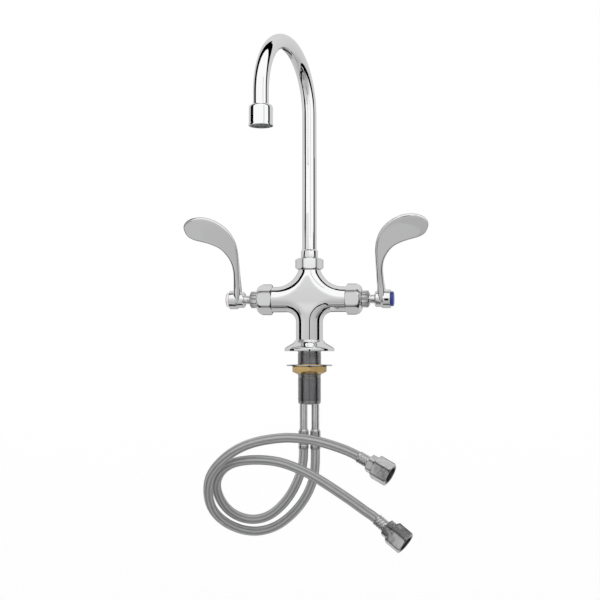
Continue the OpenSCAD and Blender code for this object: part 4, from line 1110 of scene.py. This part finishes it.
class FAUCET_OT_spout(bpy.types.Operator):
    """Bend the gooseneck and turn its machined foot"""

    bl_idname = "faucet.spout"
    bl_label = "Gooseneck spout"

    def execute(self, context):
        sizes = context.scene.faucet_sizes
        reach = sizes.spout_reach / MM
        arch = sizes.arch_centre / MM
        tube_r, sides, steps = 8.75, 64, 72
        foot_z, tip_z = SPOUT_FOOT_Z, arch - SPOUT_DROP
        bm = bmesh.new()
        made = bmesh.ops.create_circle(bm, segments=sides, radius=tube_r)
        bmesh.ops.translate(bm, vec=(0, 0, foot_z), verts=made["verts"])
        ring = self.drawn(bm, made["verts"], Vector((0, 0, arch - foot_z)))
        made = bmesh.ops.spin(bm, geom=ring + self.edges_of(ring), cent=(reach / 2, 0, arch),
                              axis=(0, 1, 0), dvec=(0, 0, 0), angle=math.pi,
                              space=Matrix.Identity(4), steps=steps, use_merge=False)
        ring = [v for v in made["geom_last"] if isinstance(v, bmesh.types.BMVert)]
        self.drawn(bm, ring, Vector((0, 0, tip_z - arch)))
        uv = bm.loops.layers.uv.new("UVMap")
        for face in bm.faces:
            for loop in face.loops:
                loop[uv].uv = (loop.vert.co.x * MM, loop.vert.co.z * MM)
        new_piece("gooseneck", bm, finish("spout chrome"), body="spout",
                  replaces=["spout_tube"], place=spout_frame(sizes))
        bore, pivot, socket, collar = 5.8, 8.6, 8.8, 10.3
        pivot_z = 82.4
        low = box_mm("swivel_nut")[1].z + 0.3
        high = low + 10.0
        profile = rounded([
            (bore, pivot_z), (pivot - 0.6, pivot_z, 0.3), (pivot, pivot_z + 0.6, 0.3),
            (pivot, low), (collar - 0.5, low, 0.2), (collar, low + 0.5, 0.2),
            (collar, high - 1.6, 0.8), (socket + 0.2, high, 0.6), (socket, high),
            (socket, foot_z), (bore, foot_z)])
        new_piece("spout_collar", turned(profile, closed=True), finish("spout chrome"),
                  body="spout", replaces=["spout_foot"])
        return {"FINISHED"}

    def edges_of(self, ring):
        """Edges that join the points of a ring."""
        held = set(ring)
        return list({e for v in ring for e in v.link_edges if e.other_vert(v) in held})

    def drawn(self, bm, ring, way):
        """Extrudes a ring of tube along a straight way, and gives back its far end."""
        made = bmesh.ops.extrude_edge_only(bm, edges=self.edges_of(ring))
        far = [v for v in made["geom"] if isinstance(v, bmesh.types.BMVert)]
        bmesh.ops.translate(bm, vec=way, verts=far)
        return far


class FAUCET_OT_swivel_nut(bpy.types.Operator):
    """Mill the hexagon nut that holds the spout"""

    bl_idname = "faucet.swivel_nut"
    bl_label = "Swivel nut"

    def execute(self, context):
        low, high = box_mm("swivel_nut")
        flats, hole, bore, roof = 29.5, 9.0, 11.55, high.z - 2.1
        inside = [(hole + 0.1, high.z), (hole, high.z - 0.2), (hole, roof), (bore, roof),
                  (bore, low.z)]
        nut = milled(flats, cone_end(low.z, -1, 14.2, 0.55), cone_end(high.z, 1, 13.4, 0.5),
                     inside, turn=context.scene.faucet_sizes.nut_turn)
        soften(new_piece("spout_nut", nut, finish("nut chrome"), replaces=["swivel_nut"]), 0.8, 4)
        return {"FINISHED"}


class FAUCET_OT_aerator(bpy.types.Operator):
    """Turn the aerator's shell on the spout's outlet"""

    bl_idname = "faucet.aerator"
    bl_label = "Aerator"

    def execute(self, context):
        sizes = context.scene.faucet_sizes
        low, high = box_mm("aerator_shell")
        r, bottom, top = (high.x - low.x) / 2, low.z, high.z
        bore, socket, step_r, waist = 11.9, 8.8, 7.55, r - 0.35
        seat, stop = top - 9, top - 10
        profile = rounded([
            (bore, bottom, 0.2), (r, bottom, 0.6), (r, bottom + 1.5, 0.3), (waist, bottom + 3, 1),
            (waist, top, 4.2), (socket, top), (socket, seat), (step_r, seat), (step_r, stop),
            (bore, stop), (bore, bottom + 0.6)], 6)
        new_piece("aerator_housing", turned(profile, closed=True), finish("spout chrome"),
                  body="spout", replaces=["aerator_shell"],
                  place=at_outlet(sizes))
        return {"FINISHED"}


class FAUCET_OT_bonnets(bpy.types.Operator):
    """Mill the domed bonnet nuts and the small packing nuts"""

    bl_idname = "faucet.bonnets"
    bl_label = "Bonnet and packing nuts"

    def execute(self, context):
        for name, side in SIDES.items():
            start, end, flats = valve_box(f"{name}_bonnet_nut")
            nose, corner, rise = 11.0, flats / math.sqrt(3), 0.48 * (end - start)
            hole, bore, roof = 9.15, 13.65, end - 6.2
            nut = milled(flats, cone_end(start, -1, 17.2, 0.6),
                         dome_end(end, 1, nose, corner, rise),
                         [(hole, end), (hole, roof), (bore, roof), (bore, start)])
            soften(new_piece(f"{name}_domed_nut", nut, finish("nut chrome"),
                             replaces=[f"{name}_bonnet_nut"],
                             place=on_valve(side)), 0.9, 4)
            start, end, flats = valve_box(f"{name}_packing_nut")
            hole, bore, roof = 5.5, 7.35, end - 2.2
            nut = milled(flats, cone_end(start, -1, 8.9, 0.5), cone_end(end, 1, 7.5, 0.55),
                         [(hole, end), (hole, roof), (bore, roof), (bore, start)], banded=True)
            soften(new_piece(f"{name}_gland_nut", nut, finish("nut chrome"),
                             replaces=[f"{name}_packing_nut"],
                             place=on_valve(side)), 0.6, 4)
        return {"FINISHED"}


def catmull(points, u):
    """Catmull-Rom value through rows of numbers."""
    k = min(int(u), len(points) - 2)
    t = u - k
    a, b, c, d = (np.array(points[min(max(k + j, 0), len(points) - 1)]) for j in (-1, 0, 1, 2))
    return 0.5 * (2 * b + (c - a) * t + (2 * a - 5 * b + 4 * c - d) * t**2
                  + (3 * b - a - 3 * c + d) * t**3)


# Stations of the blade: place along the valve axis and above it, half width and thickness
BLADE_STATIONS = [
    (0, 0, 1.4, 20.4), (0, 5, 3.2, 19.8), (-0.1, 11, 4.3, 17), (-0.5, 19, 4.3, 13),
    (-1, 30, 4.1, 9.6), (-1.1, 41, 4.3, 7.8), (-0.2, 51, 5.3, 6.6), (2, 61, 7.6, 5.8),
    (6, 71, 10.4, 5.2), (12.6, 80, 13.3, 4.8), (22, 87, 15.2, 4.6), (32, 91.2, 15.9, 4.6),
    (41, 92.6, 15.2, 4.6), (48, 92.6, 13.6, 4.4), (53, 92, 10.9, 4), (56.4, 91.4, 7.2, 3.4),
    (58, 91, 2.4, 2.6)]
# Distance of the blade's first station from the hub's inner end, rows drawn from station to
# station, and the station from which the tip closes
BLADE_SET = 8.4
STATION_STEPS = 6
TIP_START = 15.5


def rounded_section(half_width, half_depth, roundness=0.92, flat_steps=8, arc_steps=6):
    """Closed rectangle with rounded corners, from the end of one side round to it."""
    corner = roundness * min(half_width, half_depth)
    made = []
    for way in ((1, 1), (-1, 1), (-1, -1), (1, -1)):
        centre = (way[0] * (half_width - corner), way[1] * (half_depth - corner))
        begin = {(1, 1): 0, (-1, 1): 90, (-1, -1): 180, (1, -1): 270}[way]
        curve = arc(centre, corner, begin, begin + 90, arc_steps)
        if made:
            last, first = Vector(made[-1]), Vector(curve[0])
            made += [tuple(last.lerp(first, k / flat_steps)) for k in range(1, flat_steps)]
        made += curve
    last, first = Vector(made[-1]), Vector(made[0])
    made += [tuple(last.lerp(first, k / flat_steps)) for k in range(1, flat_steps + 1)]
    return made


class FAUCET_OT_handles(bpy.types.Operator):
    """Forge the wrist-blade handles: a turned hub and a swept blade"""

    bl_idname = "faucet.handles"
    bl_label = "Wrist-blade handles"

    def execute(self, context):
        sizes = context.scene.faucet_sizes
        for name, side in SIDES.items():
            low, high = box_mm(f"{name}_handle")
            start = low.x if side > 0 else -high.x
            index_r = valve_box(f"{name}_index_button")[2] / 2
            place = tilted(side, sizes) @ Matrix.Translation((0, 0, start))
            bm = turned(self.hub(index_r), closed=True)
            skinned(self.blade(), bm)
            new_piece(f"{name}_wrist_blade", bm, finish("blade chrome"), body=f"{name}_lever",
                      replaces=[f"{name}_handle"], place=place, crease=35)
        return {"FINISHED"}

    def hub(self, index_r):
        """Outline of the hub: round inner end, waist, and the cup that holds the cap."""
        inner, cup, length, cup_in = 9.75, 11.3, 19.0, 10.6
        stem_r, tang_r, tang_start = 5.25, 4.45, 1
        seat, wall_r = length - 1.5, index_r + 0.05
        return rounded([
            (stem_r, tang_start), (stem_r, 0), (inner - 1.6, 0, 1.2), (inner, 1.8, 1.2),
            (inner, cup_in - 2.6, 1.4), (cup, cup_in - 0.4, 0.5), (cup, length - 0.2, 0.7),
            (cup - 0.9, length, 0.3), (wall_r, length), (wall_r, seat), (tang_r, seat),
            (tang_r, tang_start)], 6)

    def blade(self):
        """Rows of points round the blade, from its root in the hub to its closed tip."""
        rows = []
        last = len(BLADE_STATIONS) - 1
        for n in range(last * STATION_STEPS + 1):
            u = n / STATION_STEPS
            along, height, half_width, thickness = catmull(BLADE_STATIONS, u)
            before = catmull(BLADE_STATIONS, max(0, u - 0.5))
            after = catmull(BLADE_STATIONS, min(last, u + 0.5))
            run = Vector((after[0] - before[0], after[1] - before[1])).normalized()
            across = (-run[1], run[0])
            close = 1.0
            if u > TIP_START:
                close = math.sqrt(max(0.0, 1 - ((u - TIP_START) / (last - TIP_START)) ** 2))
            section = rounded_section(max(half_width, 0.1), thickness / 2 * max(close, 0.02))
            rows.append([(height + across[1] * w, d, BLADE_SET + along + across[0] * w)
                         for w, d in section])
        middle = [sum(p[k] for p in rows[-1]) / len(rows[-1]) for k in range(3)]
        rows.append([tuple(middle)] * len(rows[-1]))
        return rows


class FAUCET_OT_index_caps(bpy.types.Operator):
    """Turn the index caps in the handles' cups"""

    bl_idname = "faucet.index_caps"
    bl_label = "Index caps"

    def execute(self, context):
        for name, side in SIDES.items():
            _, top, width = valve_box(f"{name}_index_button")
            r, seat, side_top, line_top = width / 2, top - 5.6, top - 1.25, top - 0.75
            profile = rounded([
                (0, seat), (r - 0.1, seat), (r, seat + 0.2), (r, side_top), (r, top - 0.9, 0.5),
                (r - 1.4, top - 0.25, 0.9), (r - 4, top - 0.1, 2), (0, top)], 6)
            bm = turned(profile)
            finishes = [finish(f"{name} enamel")]
            # Hot cap: its side gets a painted highlight in pale pink, and a band just below its
            # end gets painted shade; only the end keeps its red
            if name == "hot":
                finishes += [finish("hot side painted glare"), finish("hot seam painted shade")]
                for face in bm.faces:
                    middle = face.calc_center_median()
                    if middle.z < line_top:
                        face.material_index = 1 if middle.z < side_top else 2
            new_piece(f"{name}_index_cap", bm, finishes, body=f"{name}_lever",
                      replaces=[f"{name}_index_button"],
                      place=on_valve(side))
        return {"FINISHED"}


class FAUCET_OT_stems(bpy.types.Operator):
    """Turn the valve stems that show between packing nut and hub"""

    bl_idname = "faucet.stems"
    bl_label = "Valve stems"

    def execute(self, context):
        for name, side in SIDES.items():
            start, end, _ = valve_box(f"{name}_stem")
            tang_z = valve_box(f"{name}_handle")[0] + 1
            bore, foot, screw, stem, groove, tang = 1.95, 3.2, 6.2, 5.2, 4.9, 4.4
            screw_z, screw_end, groove_z = 40, 56, 74.9
            profile = rounded([
                (bore, start), (foot, start, 0.2), (foot, screw_z), (screw, screw_z, 0.3),
                (screw, screw_end, 0.3), (stem, screw_end), (stem, groove_z - 0.3, 0.2),
                (groove, groove_z), (groove, groove_z + 0.6), (stem, groove_z + 0.9, 0.2),
                (stem, tang_z), (tang, tang_z), (tang, end), (bore, end)])
            new_piece(f"{name}_turned_stem", turned(profile, 64, closed=True),
                      finish("stem metal"), body=f"{name}_lever", replaces=[f"{name}_stem"],
                      place=on_valve(side))
        return {"FINISHED"}


class FAUCET_OT_supply(bpy.types.Operator):
    """Draw the supply tubes and crimp the sleeves that join the hoses to them"""

    bl_idname = "faucet.supply"
    bl_label = "Supply tubes"

    def execute(self, context):
        for name in SIDES:
            low, high = box_mm(f"{name}_supply_tube")
            r, wall = (high.x - low.x) / 2, 1
            place = Matrix.Translation(((low.x + high.x) / 2, 0, 0))
            profile = [(r - wall, low.z), (r, low.z), (r, high.z), (r - wall, high.z)]
            new_piece(f"{name}_drawn_tube", turned(profile, 64, closed=True),
                      finish("tube metal"), replaces=[f"{name}_supply_tube"],
                      place=place)
            low, high = box_mm(f"{name}_top_sleeve")
            r, bottom, top = (high.x - low.x) / 2, low.z, high.z
            bore, tube_r, stop, neck = 3.8, 4.8, top - 4, r - 1.2
            profile = [(bore, bottom), (r - 0.4, bottom, 0.3), (r, bottom + 0.6, 0.3)]
            for z in (bottom + 5, bottom + 10):
                profile += crimp(r, z)
            profile += [(r, top - 2.4, 0.6), (neck, top - 0.6, 0.5), (neck, top),
                        (tube_r, top), (tube_r, stop), (bore, stop)]
            new_piece(f"{name}_hose_ferrule", turned(rounded(profile), 64, closed=True),
                      finish("sleeve steel"), replaces=[f"{name}_top_sleeve"],
                      place=place)
        return {"FINISHED"}


# Finish of each inner piece, which keeps its CAD shape
INNER_FINISH = {
    "base_gasket": "rubber", "spout_o_rings": "rubber", "aerator_washer": "rubber",
    "bonnet_gasket": "rubber", "seat_washer": "rubber", "cone_washer": "rubber",
    "split_ring": "nylon", "glide_washer": "nylon", "packing": "nylon",
    "flow_straightener": "grey plastic", "aerator_screen": "washer steel",
    "seat": "brass", "cartridge": "brass", "washer_holder": "brass", "washer_screw": "brass",
    "handle_screw": "stem metal"}


class FAUCET_OT_inner_parts(bpy.types.Operator):
    """Finish the inner pieces that keep their CAD shape"""

    bl_idname = "faucet.inner_parts"
    bl_label = "Inner parts"

    def execute(self, context):
        for name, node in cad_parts.items():
            kind = name.removeprefix("hot_").removeprefix("cold_")
            if kind in INNER_FINISH:
                for slot in node.material_slots:
                    slot.material = finish(INNER_FINISH[kind])
        return {"FINISHED"}


# Hoop of black card that draws the dark outlines in the chrome, seen from the user's side:
# angle round the view from the right, radius in metres, angle from the view, half width
HOOP = [
    (0, 1.2, 81, 13), (60, 1.0, 84, 11), (90, 0.9, 86, 8), (120, 0.6, 82, 10),
    (150, 0.33, 72, 12), (185, 0.27, 86, 14), (225, 0.4, 80, 12), (270, 0.6, 76, 7),
    (315, 0.72, 79, 13)]
HOOP_Z = 0.06
# Curved cards: name, azimuths from the camera's turn towards +X, heights and radius in metres,
# and the tones of their corners: low left, low right, high left, high right
CARDS = [
    ("front_low", -70, 68, -0.56, -0.19, 0.45, (0.36, 0.28, 0.5, 0.42)),
    ("front_mid", -70, 68, -0.19, 0.05, 0.45, (0.5, 0.42, 0.66, 0.5)),
    ("front_high_left", -70, -8, 0.05, 0.22, 0.45, (0.66, 0.6, 0.74, 0.85)),
    ("front_high_right", -8, 68, 0.05, 0.17, 0.45, (0.6, 0.5, 0.95, 1.0)),
    ("side_left", -70, -47, -0.56, -0.05, 0.44, (0.2, 0.26, 0.24, 0.3)),
    ("side_right", 45, 68, -0.56, -0.05, 0.44, (0.26, 0.2, 0.3, 0.24)),
    ("blade_patch", -64, 9, -0.42, -0.25, 0.43, (0.5, 0.47, 0.52, 0.48)),
    ("blade_tip", -79, -44, -0.25, -0.09, 0.43, (0.5, 0.5, 0.5, 0.5)),
    ("riser_line", 14, 18, 0.18, 0.5, 0.44, (0.35, 0.35, 0.35, 0.35)),
    ("centre_line", -3.4, 3.4, -0.12, 0.078, 0.42, (0.0, 0.0, 0.0, 0.0)),
    ("centre_end", -3.2, 3.2, -0.19, -0.015, 0.2, (0.0, 0.0, 0.0, 0.0)),
    ("centre_foot", -22, 3.2, -0.24, -0.19, 0.2, (0.05, 0.0, 0.05, 0.0)),
    ("back", 94, 266, -0.56, 0.7, 0.9, (0.56, 0.54, 0.66, 0.64)),
    ("back_shade", 156, 204, -0.56, 0.7, 0.89, (0.32, 0.32, 0.42, 0.42)),
    ("back_line", 174, 186, -0.56, 0.7, 0.88, (0.03, 0.03, 0.03, 0.03))]


class FAUCET_OT_stage(bpy.types.Operator):
    """Set the floor, the surroundings, the lamp and the cards that the chrome mirrors"""

    bl_idname = "faucet.stage"
    bl_label = "Stage"

    def execute(self, context):
        studio = context.scene.faucet_studio
        self.world(context, studio)
        self.lamp(context, studio)
        self.floor(context, studio)
        for name, first, last, low, high, radius, tones in CARDS:
            rows = [self.row(first, last, radius, z) for z in (low, high)]
            self.card(context, name, rows, tones)
        self.card(context, "canopy", self.canopy(), (0.64, 0.62, 0.72, 0.72))
        self.card(context, "under", self.under(), (0.3, 0.26, 0.56, 0.54))
        self.card(context, "hoop", self.hoop(), (0.0, 0.0, 0.0, 0.0))
        context.scene.view_settings.view_transform = "Standard"
        return {"FINISHED"}

    def world(self, context, studio):
        """Even daylight, which camera, mirror and glass rays see as plain white."""
        world = bpy.data.worlds.new("surroundings")
        world.use_nodes = True
        tree = world.node_tree
        back = tree.nodes["Background"]
        back.inputs["Color"].default_value = (1, 1, 1, 1)
        ray = add(tree, "ShaderNodeLightPath")
        seen = add(tree, "ShaderNodeMath", operation="MAXIMUM")
        link(tree, ray, "Is Camera Ray", seen, 0)
        link(tree, ray, "Is Glossy Ray", seen, 1)
        also = add(tree, "ShaderNodeMath", operation="MAXIMUM")
        link(tree, seen, "Value", also, 0)
        link(tree, ray, "Is Transmission Ray", also, 1)
        strength = add(tree, "ShaderNodeMapRange", {"To Min": studio.daylight, "To Max": 1.0})
        link(tree, also, "Value", strength, "Value")
        link(tree, strength, "Result", back, "Strength")
        context.scene.world = world

    def lamp(self, context, studio):
        """Soft lamp from behind the user's shoulder, which the chrome doesn't mirror."""
        data = bpy.data.lights.new("key", "SUN")
        data.energy = studio.key
        data.angle = studio.key_spread
        lamp = bpy.data.objects.new("key", data)
        lamp.rotation_euler = (math.radians(38), math.radians(-24), 0)
        lamp.visible_glossy = False
        context.scene.collection.objects.link(lamp)

    def floor(self, context, studio):
        """Wide pale floor that glows a little and keeps the faucet's shadow."""
        bm = bmesh.new()
        bmesh.ops.create_grid(bm, x_segments=1, y_segments=1, size=studio.floor_half)
        bmesh.ops.translate(bm, vec=(0, 0, studio.floor_z), verts=bm.verts)
        material, _, shader = blank("pale floor", (0.8, 0.8, 0.8), 0.0, 0.9)
        shader.inputs["Emission Color"].default_value = (1, 1, 1, 1)
        shader.inputs["Emission Strength"].default_value = 0.25
        self.prop(context, "floor", bm, material)

    def prop(self, context, name, bm, material):
        """Makes an object of a bmesh in metres."""
        mesh = bpy.data.meshes.new(name)
        bm.to_mesh(mesh)
        bm.free()
        mesh.materials.append(material)
        made = bpy.data.objects.new(name, mesh)
        context.scene.collection.objects.link(made)
        return made

    def card(self, context, name, rows, tones):
        """Card that only mirrors see, shaded evenly between the tones of its four corners."""
        material = bpy.data.materials.new(f"card {name}")
        material.use_nodes = True
        tree = material.node_tree
        tree.nodes.clear()
        out = add(tree, "ShaderNodeOutputMaterial")
        glow = add(tree, "ShaderNodeEmission")
        place = add(tree, "ShaderNodeTexCoord")
        parts = add(tree, "ShaderNodeSeparateXYZ")
        link(tree, place, "UV", parts, "Vector")
        blend = add(tree, "ShaderNodeMix", data_type="FLOAT")
        link(tree, parts, "Y", blend, "Factor")
        for corner, left, right in (("A", *tones[:2]), ("B", *tones[2:])):
            edge = add(tree, "ShaderNodeMapRange", {"To Min": left, "To Max": right})
            link(tree, parts, "X", edge, "Value")
            link(tree, edge, "Result", blend, corner)
        link(tree, blend, "Result", glow, "Color")
        link(tree, glow, "Emission", out, "Surface")
        material.cycles.emission_sampling = "NONE"
        bm = skinned(rows)
        turn = context.scene.faucet_studio.camera_turn
        bmesh.ops.rotate(bm, cent=(0, 0, 0), matrix=Matrix.Rotation(turn, 3, "Z"), verts=bm.verts)
        made = self.prop(context, name, bm, material)
        made.visible_camera = False
        made.visible_diffuse = False
        made.visible_transmission = False
        made.visible_shadow = False

    def row(self, first, last, radius, z, steps=24):
        """Points on a level arc round the faucet, between two azimuths in degrees."""
        angles = [math.radians(first + (last - first) * k / steps) for k in range(steps + 1)]
        return [(radius * math.sin(a), -radius * math.cos(a), z) for a in angles]

    def canopy(self, first=88, last=272, radius=0.95):
        """Upper part of a dome behind the faucet."""
        rises = [math.radians(rise) for rise in (20, 40, 60, 75, 88)]
        return [self.row(first, last, radius * math.cos(rise), HOOP_Z + radius * math.sin(rise))
                for rise in rises]

    def under(self, half=0.9, height=-0.565):
        """Flat ground card, dark before the faucet and lighter behind it."""
        return [[(x, y, height) for x in (-half, half)] for y in (-0.5, -0.25, 0.0, half)]

    def hoop(self, steps=120):
        """Band round the view, between two angles from it that change on the way round."""
        closed = HOOP + [(HOOP[0][0] + 360, *HOOP[0][1:])]
        rows = [[], []]
        for k in range(steps + 1):
            around, radius, middle, half = catmull(closed, k / steps * (len(closed) - 1))
            for row, polar in zip(rows, (middle - half, middle + half)):
                a, p = math.radians(around), math.radians(polar)
                row.append((radius * math.cos(a), -radius / math.tan(p),
                            HOOP_Z + radius * math.sin(a)))
        return rows


STEPS = (
    FAUCET_OT_camera, FAUCET_OT_hoses, FAUCET_OT_hose_ends, FAUCET_OT_body, FAUCET_OT_flange,
    FAUCET_OT_shank, FAUCET_OT_clamp, FAUCET_OT_spout, FAUCET_OT_swivel_nut, FAUCET_OT_aerator,
    FAUCET_OT_bonnets, FAUCET_OT_stems, FAUCET_OT_handles, FAUCET_OT_index_caps,
    FAUCET_OT_supply, FAUCET_OT_inner_parts, FAUCET_OT_stage)


class FAUCET_PT_panel(bpy.types.Panel):
    """Sidebar panel with the faucet's sizes, finishes and building steps"""

    bl_idname = "FAUCET_PT_panel"
    bl_label = "Pantry faucet"
    bl_space_type = "VIEW_3D"
    bl_region_type = "UI"
    bl_category = "Faucet"

    def draw(self, context):
        layout = self.layout
        for group in (context.scene.faucet_sizes, context.scene.faucet_finish,
                      context.scene.faucet_studio):
            column = layout.box().column()
            for key in group.bl_rna.properties.keys():
                if key not in ("rna_type", "name"):
                    column.prop(group, key)
        for step in STEPS:
            layout.operator(step.bl_idname)


CLASSES = (FaucetSizes, FaucetFinish, FaucetStudio, *STEPS, FAUCET_PT_panel)


def register():
    for each in CLASSES:
        bpy.utils.register_class(each)
    bpy.types.Scene.faucet_sizes = bpy.props.PointerProperty(type=FaucetSizes)
    bpy.types.Scene.faucet_finish = bpy.props.PointerProperty(type=FaucetFinish)
    bpy.types.Scene.faucet_studio = bpy.props.PointerProperty(type=FaucetStudio)


def unregister():
    del bpy.types.Scene.faucet_studio
    del bpy.types.Scene.faucet_finish
    del bpy.types.Scene.faucet_sizes
    for each in reversed(CLASSES):
        bpy.utils.unregister_class(each)


def main():
    register()
    bpy.ops.faucet.camera()
    bpy.ops.faucet.hoses()
    bpy.ops.faucet.hose_ends()
    bpy.ops.faucet.body()
    bpy.ops.faucet.flange()
    bpy.ops.faucet.shank()
    bpy.ops.faucet.clamp()
    bpy.ops.faucet.spout()
    bpy.ops.faucet.swivel_nut()
    bpy.ops.faucet.aerator()
    bpy.ops.faucet.bonnets()
    bpy.ops.faucet.stems()
    bpy.ops.faucet.handles()
    bpy.ops.faucet.index_caps()
    bpy.ops.faucet.supply()
    bpy.ops.faucet.inner_parts()
    bpy.ops.faucet.stage()


if __name__ == "__main__":
    main()
